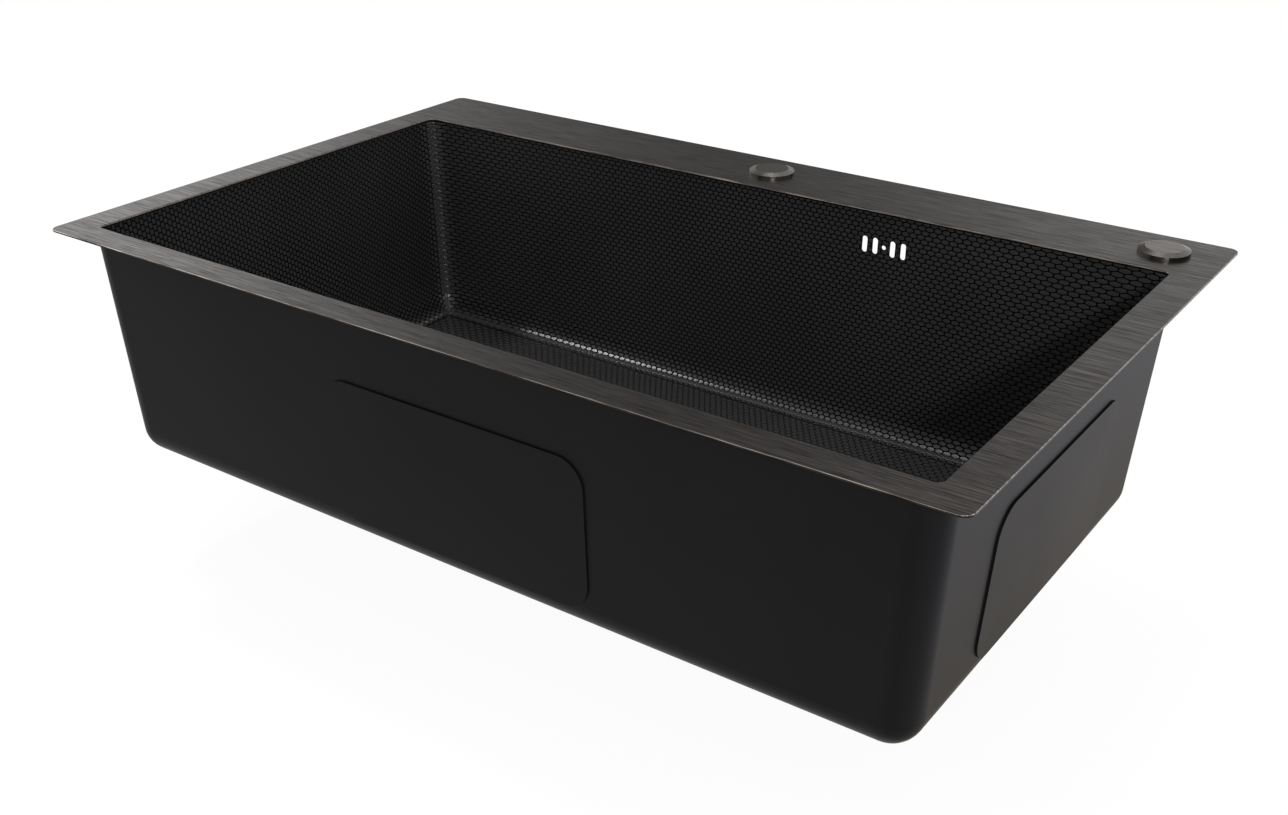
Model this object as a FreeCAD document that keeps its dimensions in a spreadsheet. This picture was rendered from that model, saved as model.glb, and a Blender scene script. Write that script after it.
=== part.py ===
import FreeCAD, Part
import Sketcher
import math
import os
from types import SimpleNamespace

# Inset kitchen sink: a pressed bowl welded under a flat rim plate, damping pads on its walls,
# two tap-hole covers clamped through the deck, and a basket strainer waste with a lift stopper.
# Millimetres. The frame stands on the middle of the rim plate's underside, the level of the
# worktop: X to the right, Y to the back, Z up.

SIZES = {
    "rim_width": 800.0,
    "rim_depth": 500.0,
    "rim_thick": 1.5,
    "rim_corner": 8.0,
    "rim_edge_bevel": 0.4,
    "side_land": 28.6,
    "front_land": 25.5,
    "deck_depth": 77.2,
    "opening_corner": 6.0,
    "bowl_depth": 198.5,
    "bowl_sheet": 1.2,
    "bowl_setback": 6.1,
    "bowl_round": 22.1,
    "bowl_flange": 8.0,
    "bowl_mouth_round": 2.5,
    "side_draft": 3.98,
    "front_draft": 2.09,
    "overflow_x": 131.8,
    "overflow_drop": 31.7,
    "overflow_slot_width": 5.0,
    "overflow_slot_height": 14.3,
    "overflow_inner_step": 8.1,
    "overflow_outer_step": 17.9,
    "overflow_screw_hole": 2.0,
    "recess_depth": 5.5,
    "recess_radius": 61.0,
    "recess_draft": 28.0,
    "waste_hole": 45.0,
    "pad_thick": 1.5,
    "pad_corner": 22.0,
    "pad_drop": 59.7,
    "pad_height": 120.0,
    "front_pad_width": 240.0,
    "front_pad_x": 3.5,
    "side_pad_width": 213.0,
    "side_pad_y": -27.5,
    "bottom_pad_width": 220.0,
    "bottom_pad_depth": 210.0,
    "bottom_pad_gap": 175.5,
    "tap_hole": 17.5,
    "tap_back_gap": 39.0,
    "centre_tap_x": 1.5,
    "side_tap_gap": 47.0,
    "cap_radius": 20.0,
    "cap_side": 2.8,
    "cap_height": 4.8,
    "cap_flat_radius": 14.8,
    "cap_sheet": 1.1,
    "cap_boss": 6.0,
    "gasket_width": 2.0,
    "gasket_thick": 1.2,
    "stud_radius": 3.0,
    "stud_length": 32.0,
    "stud_engagement": 2.8,
    "stud_chamfer": 0.6,
    "clamp_length": 50.0,
    "clamp_width": 16.0,
    "clamp_thick": 1.5,
    "clamp_corner": 4.0,
    "clamp_clearance": 0.3,
    "wing_hub_radius": 6.5,
    "wing_hub_tip": 5.2,
    "wing_hub_height": 6.0,
    "wing_reach": 16.0,
    "wing_height": 16.0,
    "wing_thick": 2.4,
    "wing_round": 2.6,
    "wing_root_drop": 1.0,
    "wing_tip_height": 5.3,
    "flange_seal_thick": 1.5,
    "flange_seal_inner": 47.0,
    "flange_seal_outer": 56.0,
    "under_seal_thick": 3.0,
    "under_seal_inner": 46.0,
    "under_seal_outer": 55.0,
    "strainer_lip": 57.0,
    "strainer_throat": 43.3,
    "strainer_sheet": 1.0,
    "strainer_bend": 1.2,
    "strainer_depth": 38.0,
    "strainer_dish_bevel": 4.0,
    "strainer_boss": 11.0,
    "strainer_boss_thick": 4.2,
    "strainer_port_inner": 14.0,
    "strainer_port_outer": 29.0,
    "strainer_bar": 5.0,
    "waste_flange": 56.0,
    "waste_flange_thick": 5.0,
    "waste_cup_inner": 46.0,
    "waste_wall": 3.0,
    "waste_cup_depth": 44.0,
    "waste_funnel": 13.0,
    "outlet_radius": 23.9,
    "outlet_length": 22.0,
    "waste_boss": 9.0,
    "waste_boss_height": 16.0,
    "waste_rib": 3.0,
    "waste_rib_bite": 0.75,
    "spigot_radius": 10.0,
    "spigot_wall": 2.0,
    "spigot_reach": 72.0,
    "spigot_drop": 24.0,
    "spigot_collar": 12.5,
    "spigot_collar_reach": 53.0,
    "screw_radius": 4.0,
    "screw_head": 8.0,
    "screw_length": 21.0,
    "screw_slot_width": 1.8,
    "screw_slot_depth": 1.4,
    "screw_clearance": 0.2,
    "basket_lip": 50.0,
    "basket_lip_thick": 1.2,
    "basket_top": 42.0,
    "basket_bottom": 38.0,
    "basket_depth": 22.0,
    "basket_sheet": 0.9,
    "basket_collar": 5.5,
    "basket_collar_height": 8.0,
    "basket_slot_width": 3.0,
    "basket_slot_height": 14.0,
    "basket_floor_slot_inner": 10.0,
    "basket_floor_slot_outer": 32.0,
    "seat_gap": 0.3,
    "post_radius": 3.0,
    "post_clearance": 0.1,
    "shoulder_radius": 10.0,
    "shoulder_thick": 1.0,
    "seal_radius": 31.5,
    "seal_lip_width": 7.5,
    "seal_thick": 2.5,
    "seal_rise": 3.5,
    "nut_flats": 10.0,
    "nut_thick": 2.8,
    "knob_radius": 9.0,
    "knob_height": 11.5,
    "knob_stand": 1.0,
    "knob_neck": 5.5,
    "knob_bevel": 2.5,
    "knob_crown": 3.0,
    "cut_overrun": 2.0,
}
CLOSE = 1e-4
STRAINER_PORTS = 4
WASTE_RIBS = 4
WINGS = 2
NUT_SIDES = 6
FULL_TURN = 360
BASKET_WALL_SLOTS = 18
BASKET_FLOOR_SLOTS = 8
# On a bent sheet the bevels of the two skins differ by this share of its thickness.
BEVEL_STEP = 2 - math.sqrt(2)

doc = FreeCAD.newDocument("KitchenSink")
sheet = doc.addObject("Spreadsheet::Sheet", "Sizes")
for row, (alias, value) in enumerate(SIZES.items(), start=1):
    sheet.set(f"A{row}", alias)
    sheet.set(f"B{row}", str(value))
    sheet.setAlias(f"B{row}", alias)
doc.recompute()


class Term:
    """A length or angle, held both as its value and as the sheet expression that gives it."""

    def __init__(self, text, value):
        self.text = text
        self.value = value

    def __add__(self, other):
        other = term(other)
        return Term(f"({self.text} + {other.text})", self.value + other.value)

    def __sub__(self, other):
        other = term(other)
        return Term(f"({self.text} - {other.text})", self.value - other.value)

    def __mul__(self, other):
        other = term(other)
        return Term(f"({self.text} * {other.text})", self.value * other.value)

    def __truediv__(self, other):
        other = term(other)
        return Term(f"({self.text} / {other.text})", self.value / other.value)

    def __neg__(self):
        return Term(f"(0 - {self.text})", -self.value)


def term(value):
    """Take a bare share or count as a Term."""
    return value if isinstance(value, Term) else Term(repr(float(value)), float(value))


s = SimpleNamespace(**{alias: Term(f"Sizes.{alias}", value) for alias, value in SIZES.items()})
ZERO = term(0)

# Planes and levels that several pieces share.
opening_right = s.rim_width / 2 - s.side_land
opening_front = -(s.rim_depth / 2) + s.front_land
opening_back = s.rim_depth / 2 - s.deck_depth
tap_y = s.rim_depth / 2 - s.tap_back_gap
side_tap_x = s.rim_width / 2 - s.side_tap_gap
bottom_pad_x = opening_right - s.bottom_pad_gap
bowl_bottom = -s.bowl_depth - s.bowl_sheet
wall_offset = s.bowl_setback + s.bowl_sheet
recess_floor = -s.bowl_depth - s.recess_depth
recess_under = recess_floor - s.bowl_sheet
lip_under = recess_floor + s.flange_seal_thick
lip_top = lip_under + s.strainer_sheet
throat_outer = s.strainer_throat + s.strainer_sheet
dish_floor = recess_floor - s.strainer_depth
dish_under = dish_floor - s.strainer_sheet
plate_edge = s.strainer_throat - s.strainer_dish_bevel
strainer_boss_under = dish_floor - s.strainer_boss_thick
waste_top = recess_under - s.under_seal_thick
funnel_top = recess_floor - s.waste_cup_depth
funnel_bottom = funnel_top - s.waste_funnel
tail_top = funnel_bottom - s.waste_wall / 2
outlet_end = funnel_bottom - s.outlet_length
spigot_z = recess_floor - s.spigot_drop
outlet_inner = s.outlet_radius - s.waste_wall
basket_under = lip_top + s.seat_gap
basket_floor = recess_floor - s.basket_depth
seal_under = dish_floor + s.seat_gap
seal_web_top = seal_under + s.seal_thick + s.seal_rise
shoulder_top = seal_web_top + s.shoulder_thick
nut_top = seal_web_top - s.seal_thick
knob_top = -s.bowl_depth + s.knob_stand
knob_under = knob_top - s.knob_height
post_top = knob_top - s.knob_crown


def bind(thing, prop, length):
    """Tie one property of a feature, or one named constraint of a sketch, to the sheet."""
    thing.setExpression(prop, length.text)


def new_body(label):
    """Start the body of one sub-part; its Label names the node."""
    body = doc.addObject("PartDesign::Body", label)
    body.Label = label
    return body


def place(body, x=ZERO, y=ZERO):
    """Stand a body that is drawn about the Z axis on its own axis in the frame."""
    bind(body, "Placement.Base.x", x)
    bind(body, "Placement.Base.y", y)


def origin_part(body, role):
    """Find the origin plane or axis of a body by its role."""
    return next(item for item in body.Origin.OriginFeatures if item.Role == role)


def new_sketch(body, plane, name, offset=ZERO):
    """Attach a sketch to an origin plane of its own body, moved along the plane's normal."""
    sketch = body.newObject("Sketcher::SketchObject", f"{body.Name}_{name}")
    sketch.AttachmentSupport = [(origin_part(body, plane), "")]
    sketch.MapMode = "FlatFace"
    bind(sketch, "AttachmentOffset.Base.z", offset)
    return sketch


def hold(sketch, *parts):
    """Add one constraint to a sketch and give its number."""
    return sketch.addConstraint(Sketcher.Constraint(*parts))


def dimension(sketch, kind, where, length):
    """Add one dimension to a sketch and tie it to the sheet."""
    index = hold(sketch, kind, *where, length.value)
    sketch.setExpression(f"Constraints[{index}]", length.text)


def pin_point(sketch, geometry, end, x, y):
    """Hold one point of a sketch at x, y; a zero puts it on the sketch's axis."""
    for length, kind, axis in ((x, "DistanceX", -2), (y, "DistanceY", -1)):
        if length is ZERO:
            hold(sketch, "PointOnObject", geometry, end, axis)
        else:
            dimension(sketch, kind, (geometry, end), length)


def vector(x, y):
    """Give the point of a sketch at two Terms."""
    return FreeCAD.Vector(x.value, y.value, 0)


def polygon(sketch, points):
    """Draw a closed outline through points, each held by its two coordinates."""
    first = sketch.GeometryCount
    count = len(points)
    for k in range(count):
        line = Part.LineSegment(vector(*points[k]), vector(*points[(k + 1) % count]))
        sketch.addGeometry(line, False)
    for k in range(count):
        following = first + (k + 1) % count
        hold(sketch, "Coincident", first + k, 2, following, 1)
        pin_point(sketch, first + k, 1, *points[k])


def circle(sketch, x, y, radius):
    """Draw a circle held by its centre and radius."""
    normal = FreeCAD.Vector(0, 0, 1)
    index = sketch.addGeometry(Part.Circle(vector(x, y), normal, radius.value), False)
    pin_point(sketch, index, 3, x, y)
    dimension(sketch, "Radius", (index,), radius)


def rounded_box(sketch, left, right, low, high, radius):
    """Draw a rectangle with four equal corner arcs, held by its sides and its radius."""
    first = sketch.GeometryCount
    corners = (
        (right - radius, high - radius, 0),
        (left + radius, high - radius, 1),
        (left + radius, low + radius, 2),
        (right - radius, low + radius, 3),
    )
    quarter = math.pi / 2
    normal = FreeCAD.Vector(0, 0, 1)
    for x, y, turn in corners:
        ring = Part.Circle(vector(x, y), normal, radius.value)
        sketch.addGeometry(Part.ArcOfCircle(ring, turn * quarter, (turn + 1) * quarter), False)
    for x, y, turn in corners:
        index = first + turn
        following = first + (turn + 1) % 4
        start = sketch.getPoint(index, 2)
        end = sketch.getPoint(following, 1)
        line = sketch.addGeometry(Part.LineSegment(start, end), False)
        hold(sketch, "Tangent", index, 2, line, 1)
        hold(sketch, "Tangent", line, 2, following, 1)
        pin_point(sketch, index, 3, x, y)
    dimension(sketch, "Radius", (first,), radius)
    for turn in (1, 2, 3):
        hold(sketch, "Equal", first, first + turn)


def slot(sketch, x, y, width, height):
    """Draw an upright slot with half-round ends."""
    first = sketch.GeometryCount
    radius = width / 2
    upper = y + height / 2 - radius
    lower = y - height / 2 + radius
    normal = FreeCAD.Vector(0, 0, 1)
    top = Part.ArcOfCircle(Part.Circle(vector(x, upper), normal, radius.value), 0, math.pi)
    foot = Part.ArcOfCircle(Part.Circle(vector(x, lower), normal, radius.value), math.pi, 2 * math.pi)
    sketch.addGeometry(top, False)
    sketch.addGeometry(foot, False)
    sides = ((first, 2, first + 1, 1), (first + 1, 2, first, 1))
    for from_arc, from_end, to_arc, to_end in sides:
        start = sketch.getPoint(from_arc, from_end)
        end = sketch.getPoint(to_arc, to_end)
        line = sketch.addGeometry(Part.LineSegment(start, end), False)
        hold(sketch, "Tangent", from_arc, from_end, line, 1)
        hold(sketch, "Tangent", line, 2, to_arc, to_end)
    pin_point(sketch, first, 3, x, upper)
    pin_point(sketch, first + 1, 3, x, lower)
    dimension(sketch, "Radius", (first,), radius)


def settle(feature):
    """Recompute and stop at once if the new feature failed."""
    doc.recompute()
    if "Invalid" in feature.State or "Error" in feature.State:
        raise RuntimeError(f"{feature.Name} failed: {feature.getStatusString()}")
    return feature


def pad(body, sketch, length, backwards=False, both_sides=False, taper=None):
    """Pad a sketch along its plane's normal, or against it, or to both sides."""
    feature = body.newObject("PartDesign::Pad", f"{sketch.Name}_pad")
    feature.Profile = sketch
    feature.Reversed = backwards
    if both_sides:
        feature.SideType = "Symmetric"
    bind(feature, "Length", length)
    if taper is not None:
        bind(feature, "TaperAngle", taper)
    return settle(feature)


def pocket(body, sketch, length=None, backwards=False, taper=None):
    """Cut a sketch out of the body, against its plane's normal; without a length, all through."""
    before = body.Shape.Volume
    feature = body.newObject("PartDesign::Pocket", f"{sketch.Name}_pocket")
    feature.Profile = sketch
    feature.Reversed = backwards
    if length is None:
        feature.Type = "ThroughAll"
    else:
        bind(feature, "Length", length)
    if taper is not None:
        bind(feature, "TaperAngle", taper)
    settle(feature)
    if not body.Shape.Volume < before:
        raise RuntimeError(f"{feature.Name} cuts nothing")
    return feature


def revolve(body, points, name="profile"):
    """Turn a closed profile of radius and height about the Z axis."""
    sketch = new_sketch(body, "XZ_Plane", name)
    polygon(sketch, points)
    feature = body.newObject("PartDesign::Revolution", f"{sketch.Name}_turned")
    feature.Profile = sketch
    feature.ReferenceAxis = (sketch, ["V_Axis"])
    feature.Angle = FULL_TURN
    return settle(feature)


def ring(body, inner, outer, low, high):
    """Turn a flat ring about the Z axis."""
    return revolve(body, [(inner, low), (outer, low), (outer, high), (inner, high)])


def polar(body, feature, count):
    """Repeat a feature evenly about the Z axis."""
    pattern = body.newObject("PartDesign::PolarPattern", f"{feature.Name}_round")
    pattern.Originals = [feature]
    pattern.Axis = (origin_part(body, "Z_Axis"), [""])
    pattern.Angle = FULL_TURN
    pattern.Occurrences = count
    body.Tip = pattern
    return settle(pattern)


def fillet(body, radius, name, chosen):
    """Round the edges of a body that a test chooses."""
    base = body.Tip
    edges = [f"Edge{k}" for k, edge in enumerate(base.Shape.Edges, 1) if chosen(edge)]
    if not edges:
        raise RuntimeError(f"{body.Name}_{name} finds no edge")
    feature = body.newObject("PartDesign::Fillet", f"{body.Name}_{name}")
    feature.Base = (base, edges)
    bind(feature, "Radius", radius)
    return settle(feature)


def bevel(body, size, name, chosen):
    """Bevel the edges of a body that a test chooses."""
    base = body.Tip
    edges = [f"Edge{k}" for k, edge in enumerate(base.Shape.Edges, 1) if chosen(edge)]
    if not edges:
        raise RuntimeError(f"{body.Name}_{name} finds no edge")
    feature = body.newObject("PartDesign::Chamfer", f"{body.Name}_{name}")
    feature.Base = (base, edges)
    bind(feature, "Size", size)
    return settle(feature)


def draft(body, angle, name, chosen):
    """Lean the flat walls that a test chooses, hinged on the body's XY plane."""
    base = body.Tip
    faces = [f"Face{k}" for k, face in enumerate(base.Shape.Faces, 1) if chosen(face.normalAt(0, 0))]
    feature = body.newObject("PartDesign::Draft", f"{body.Name}_{name}")
    feature.Base = (base, faces)
    feature.NeutralPlane = (origin_part(body, "XY_Plane"), [""])
    feature.Reversed = True
    bind(feature, "Angle", angle)
    return settle(feature)


def shell(body, thickness, chosen):
    """Hollow a body to a wall inwards from its skin, open at the faces that a test chooses."""
    base = body.Tip
    faces = [f"Face{k}" for k, face in enumerate(base.Shape.Faces, 1) if chosen(face)]
    feature = body.newObject("PartDesign::Thickness", f"{body.Name}_shell")
    feature.Base = (base, faces)
    feature.Reversed = True
    bind(feature, "Value", thickness)
    return settle(feature)


def level(item, height):
    """Tell whether an edge or a face lies flat at a height."""
    box = item.BoundBox
    return abs(box.ZMin - height.value) < CLOSE and abs(box.ZMax - height.value) < CLOSE


def rim_plate():
    """Flat plate with the bowl's opening and two tap holes, its upper edge bevelled."""
    body = new_body("rim_plate")
    sketch = new_sketch(body, "XY_Plane", "outline")
    half_width = s.rim_width / 2
    half_depth = s.rim_depth / 2
    rounded_box(sketch, -half_width, half_width, -half_depth, half_depth, s.rim_corner)
    rounded_box(sketch, -opening_right, opening_right, opening_front, opening_back, s.opening_corner)
    circle(sketch, s.centre_tap_x, tap_y, s.tap_hole)
    circle(sketch, side_tap_x, tap_y, s.tap_hole)
    pad(body, sketch, s.rim_thick)

    def outer_top(edge):
        centre = edge.BoundBox.Center
        beyond_x = abs(centre.x) - (half_width - s.rim_corner).value
        beyond_y = abs(centre.y) - (half_depth - s.rim_corner).value
        return level(edge, s.rim_thick) and max(beyond_x, beyond_y) > 0

    bevel(body, s.rim_edge_bevel, "edge", outer_top)
    return body


def bowl():
    """Drafted sheet bowl with rounded floor, welding flange, drain recess and overflow slots."""
    body = new_body("bowl")
    side = opening_right + wall_offset
    front = opening_front - wall_offset
    back = opening_back + wall_offset
    block = new_sketch(body, "XY_Plane", "block")
    polygon(block, [(-side, front), (side, front), (side, back), (-side, back)])
    pad(body, block, -bowl_bottom, backwards=True)
    draft(body, s.side_draft, "sides", lambda normal: abs(normal.x) > 1 - CLOSE)
    draft(body, s.front_draft, "ends", lambda normal: abs(normal.y) > 1 - CLOSE)
    outer_corner = s.bowl_round + s.bowl_sheet
    fillet(body, outer_corner, "round", lambda edge: not level(edge, ZERO))
    shell(body, s.bowl_sheet, lambda face: level(face, ZERO))

    flange = new_sketch(body, "XY_Plane", "flange")
    brim = wall_offset + s.bowl_flange
    side = opening_right + brim
    back_edge = opening_back + brim
    rounded_box(flange, -side, side, opening_front - brim, back_edge, outer_corner + s.bowl_flange)
    weld = s.bowl_setback + s.bowl_sheet / 2
    weld_side = opening_right + weld
    weld_corner = outer_corner - s.bowl_sheet / 2
    rounded_box(flange, -weld_side, weld_side, opening_front - weld, opening_back + weld, weld_corner)
    pad(body, flange, s.bowl_sheet, backwards=True)

    flange_band = s.bowl_flange / 2

    def inside_flange(edge):
        box = edge.BoundBox
        clear_front = box.YMin > (opening_front - brim + flange_band).value
        clear_x = max(abs(box.XMin), abs(box.XMax)) < (side - flange_band).value
        return clear_x and clear_front and box.YMax < (back_edge - flange_band).value

    fillet(body, s.bowl_mouth_round - s.bowl_sheet, "flange_round",
           lambda edge: level(edge, -s.bowl_sheet) and inside_flange(edge))
    fillet(body, s.bowl_mouth_round, "mouth_round",
           lambda edge: level(edge, ZERO) and inside_flange(edge))
    recess_skin = new_sketch(body, "XY_Plane", "recess_skin", bowl_bottom + s.bowl_sheet / 2)
    circle(recess_skin, ZERO, ZERO, s.recess_radius + s.bowl_sheet)
    pad(body, recess_skin, s.recess_depth + s.bowl_sheet / 2, backwards=True, taper=-s.recess_draft)
    recess = new_sketch(body, "XY_Plane", "recess", -s.bowl_depth)
    circle(recess, ZERO, ZERO, s.recess_radius)
    pocket(body, recess, s.recess_depth, taper=-s.recess_draft)
    hole = new_sketch(body, "XY_Plane", "waste_hole", -s.bowl_depth)
    circle(hole, ZERO, ZERO, s.waste_hole)
    pocket(body, hole)
    overflow = new_sketch(body, "XZ_Plane", "overflow")
    for step in (s.overflow_inner_step, s.overflow_outer_step):
        for x in (s.overflow_x - step, s.overflow_x + step):
            slot(overflow, x, -s.overflow_drop, s.overflow_slot_width, s.overflow_slot_height)
    circle(overflow, s.overflow_x, -s.overflow_drop, s.overflow_screw_hole)
    pocket(body, overflow)
    return body


def damping_pad(label, plane, left, right, low, high, backwards):
    """Flat rubber pad with rounded corners, drawn in its own plane and padded outwards."""
    body = new_body(label)
    sketch = new_sketch(body, plane, "outline")
    rounded_box(sketch, left, right, low, high, s.pad_corner)
    pad(body, sketch, s.pad_thick, backwards=backwards)
    return body


def tilt(body, axis, angle):
    """Lean a wall pad with the draft of its wall."""
    body.Placement.Rotation = FreeCAD.Rotation(axis, angle.value)
    bind(body, "Placement.Rotation.Angle", angle)


def wall_pads():
    """Damping pads glued flat on the four drafted walls, below the overflow."""
    low = -s.pad_drop - s.pad_height
    high = -s.pad_drop
    half = s.front_pad_width / 2
    x_axis = FreeCAD.Vector(1, 0, 0)
    y_axis = FreeCAD.Vector(0, 1, 0)
    front = damping_pad("front_pad", "XZ_Plane", -half, half, low, high, False)
    tilt(front, x_axis, s.front_draft)
    place(front, s.front_pad_x, opening_front - wall_offset)
    back = damping_pad("back_pad", "XZ_Plane", -half, half, low, high, True)
    tilt(back, -x_axis, s.front_draft)
    place(back, s.front_pad_x, opening_back + wall_offset)
    half = s.side_pad_width / 2
    right = damping_pad("right_pad", "YZ_Plane", -half, half, low, high, False)
    tilt(right, y_axis, s.side_draft)
    place(right, opening_right + wall_offset, s.side_pad_y)
    left = damping_pad("left_pad", "YZ_Plane", -half, half, low, high, True)
    tilt(left, -y_axis, s.side_draft)
    place(left, -(opening_right + wall_offset), s.side_pad_y)
    return [front, back, right, left]


def bottom_pads():
    """Damping pads under the bowl's floor, one each side of the waste."""
    pads = []
    middle = (opening_front + opening_back) / 2
    half_width = s.bottom_pad_width / 2
    half_depth = s.bottom_pad_depth / 2
    for label, x in (("bottom_pad_left", -bottom_pad_x), ("bottom_pad_right", bottom_pad_x)):
        body = damping_pad(label, "XY_Plane", -half_width, half_width, -half_depth, half_depth, True)
        place(body, x, middle)
        bind(body, "Placement.Base.z", bowl_bottom)
        pads.append(body)
    return pads


def cover_cap(name, x):
    """Turned cap with a bevelled crown, a hollow underside and a threaded boss."""
    body = new_body(f"{name}_cap")
    deck = s.rim_thick
    top = deck + s.cap_height
    shoulder = deck + s.cap_side
    ceiling = top - s.cap_sheet
    revolve(body, [
        (ZERO, top),
        (s.cap_flat_radius, top),
        (s.cap_radius, shoulder),
        (s.cap_radius, deck),
        (s.cap_radius - s.cap_sheet, deck),
        (s.cap_radius - s.cap_sheet, shoulder - s.cap_sheet / 2),
        (s.cap_flat_radius - s.cap_sheet / 2, ceiling),
        (s.cap_boss, ceiling),
        (s.cap_boss, deck),
        (s.stud_radius, deck),
        (s.stud_radius, deck + s.stud_engagement),
        (ZERO, deck + s.stud_engagement),
    ])
    place(body, x, tap_y)
    return body


def cover_gasket(name, x):
    """Flat sealing ring inside the cap's skirt."""
    body = new_body(f"{name}_gasket")
    outer = s.cap_radius - s.cap_sheet
    ring(body, outer - s.gasket_width, outer, s.rim_thick, s.rim_thick + s.gasket_thick)
    place(body, x, tap_y)
    return body


def cover_stud(name, x):
    """Threaded stud from the cap's boss down through the tap hole."""
    body = new_body(f"{name}_stud")
    top = s.rim_thick + s.stud_engagement
    foot = top - s.stud_length
    revolve(body, [
        (ZERO, top),
        (s.stud_radius, top),
        (s.stud_radius, foot + s.stud_chamfer),
        (s.stud_radius - s.stud_chamfer, foot),
        (ZERO, foot),
    ])
    place(body, x, tap_y)
    return body


def cover_clamp_bar(name, x):
    """Bar across the tap hole under the deck."""
    body = new_body(f"{name}_clamp_bar")
    sketch = new_sketch(body, "XY_Plane", "outline")
    half_length = s.clamp_length / 2
    half_width = s.clamp_width / 2
    rounded_box(sketch, -half_length, half_length, -half_width, half_width, s.clamp_corner)
    circle(sketch, ZERO, ZERO, s.stud_radius + s.clamp_clearance)
    pad(body, sketch, s.clamp_thick, backwards=True)
    place(body, x, tap_y)
    return body


def cover_wing_nut(name, x):
    """Wing nut on the stud: a tapered hub with two rounded wings that hang below it."""
    body = new_body(f"{name}_wing_nut")
    top = -s.clamp_thick
    foot = top - s.wing_hub_height
    tip = top - s.wing_height
    hub = s.wing_hub_radius
    revolve(body, [
        (s.stud_radius, top),
        (hub, top),
        (s.wing_hub_tip, foot),
        (s.stud_radius, foot),
    ])
    wing = new_sketch(body, "XZ_Plane", "wing")
    root = (s.stud_radius + s.wing_hub_tip) / 2
    polygon(wing, [
        (root, top - s.wing_root_drop),
        (hub, top - s.wing_root_drop),
        (s.wing_reach, tip + s.wing_tip_height),
        (s.wing_reach, tip),
        (s.wing_reach - s.wing_hub_radius, tip),
        (root, foot + s.wing_root_drop),
    ])
    feature = pad(body, wing, s.wing_thick, both_sides=True)
    polar(body, feature, WINGS)

    def wing_corner(edge):
        box = edge.BoundBox
        upright = abs(box.XLength) < CLOSE and abs(box.ZLength) < CLOSE
        outer = abs(box.Center.x) > hub.value + CLOSE and box.Center.z < (tip + s.wing_height / 2).value
        return upright and outer and abs(box.YLength - s.wing_thick.value) < CLOSE

    fillet(body, s.wing_round, "tip_round", wing_corner)
    place(body, x, tap_y)
    return body


def tap_hole_covers():
    """Both covers with all their pieces."""
    makers = (cover_cap, cover_gasket, cover_stud, cover_clamp_bar, cover_wing_nut)
    places = (("centre_cover", s.centre_tap_x), ("side_cover", side_tap_x))
    return [make(name, x) for name, x in places for make in makers]


def flange_seal():
    """Flat seal between the drain recess and the strainer's lip."""
    body = new_body("flange_seal")
    ring(body, s.flange_seal_inner, s.flange_seal_outer, recess_floor, lip_under)
    return body


def under_seal():
    """Flat seal between the bowl's underside and the waste body."""
    body = new_body("under_seal")
    ring(body, s.under_seal_inner, s.under_seal_outer, waste_top, recess_under)
    return body


def strainer_flange():
    """Pressed cup with a lip in the recess; its beveled foot ends at the drain plate."""
    body = new_body("strainer_flange")
    bend = s.strainer_bend
    dish = s.strainer_dish_bevel
    step = s.strainer_sheet * BEVEL_STEP
    revolve(body, [
        (s.strainer_throat, lip_top - bend - step),
        (s.strainer_throat + bend + step, lip_top),
        (s.strainer_lip, lip_top),
        (s.strainer_lip, lip_under),
        (throat_outer + bend, lip_under),
        (throat_outer, lip_under - bend),
        (throat_outer, dish_under + dish),
        (throat_outer - dish, dish_under),
        (plate_edge, dish_under),
        (plate_edge, dish_floor),
        (s.strainer_throat - dish + step, dish_floor),
        (s.strainer_throat, dish_floor + dish - step),
    ])
    return body


def strainer_plate():
    """Drain plate welded into the cup's foot, with ports and a countersunk screw boss."""
    body = new_body("strainer_plate")
    cone = s.screw_head - s.screw_radius
    clear = s.screw_clearance
    revolve(body, [
        (plate_edge, dish_floor),
        (plate_edge, dish_under),
        (s.strainer_boss, dish_under),
        (s.strainer_boss, strainer_boss_under),
        (s.screw_radius + clear, strainer_boss_under),
        (s.screw_radius + clear, dish_floor - cone),
        (s.screw_head + clear, dish_floor),
    ])
    port = new_sketch(body, "XY_Plane", "port", dish_floor)
    sector(port, s.strainer_port_inner, s.strainer_port_outer, s.strainer_bar)
    polar(body, pocket(body, port), STRAINER_PORTS)
    return body


def sector(sketch, inner, outer, bar):
    """Draw one quarter of a ring, cut back by half a bar's width from both axes."""
    side = bar / 2
    near = reach(inner, side)
    far = reach(outer, side)
    corners = [(near, side), (far, side), (side, far), (side, near)]

    def quarter_arc(radius):
        whole = Part.Circle(FreeCAD.Vector(), FreeCAD.Vector(0, 0, 1), radius.value)
        start = math.asin(side.value / radius.value)
        return Part.ArcOfCircle(whole, start, math.pi / 2 - start)

    low = sketch.addGeometry(Part.LineSegment(vector(*corners[0]), vector(*corners[1])), False)
    rim = sketch.addGeometry(quarter_arc(outer), False)
    high = sketch.addGeometry(Part.LineSegment(vector(*corners[2]), vector(*corners[3])), False)
    hub = sketch.addGeometry(quarter_arc(inner), False)
    for joint in ((low, 2, rim, 1), (rim, 2, high, 1), (high, 2, hub, 2), (hub, 1, low, 1)):
        hold(sketch, "Coincident", *joint)
    for arc, radius in ((rim, outer), (hub, inner)):
        hold(sketch, "Coincident", arc, 3, -1, 1)
        dimension(sketch, "Radius", (arc,), radius)
    hold(sketch, "Horizontal", low)
    hold(sketch, "Vertical", high)
    dimension(sketch, "DistanceY", (low, 1), side)
    dimension(sketch, "DistanceX", (high, 1), side)


def reach(radius, side):
    """Give the other coordinate of the point of a circle that stands at one side."""
    text = f"sqrt({radius.text} * {radius.text} - {side.text} * {side.text})"
    return Term(text, math.sqrt(radius.value ** 2 - side.value ** 2))


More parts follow.
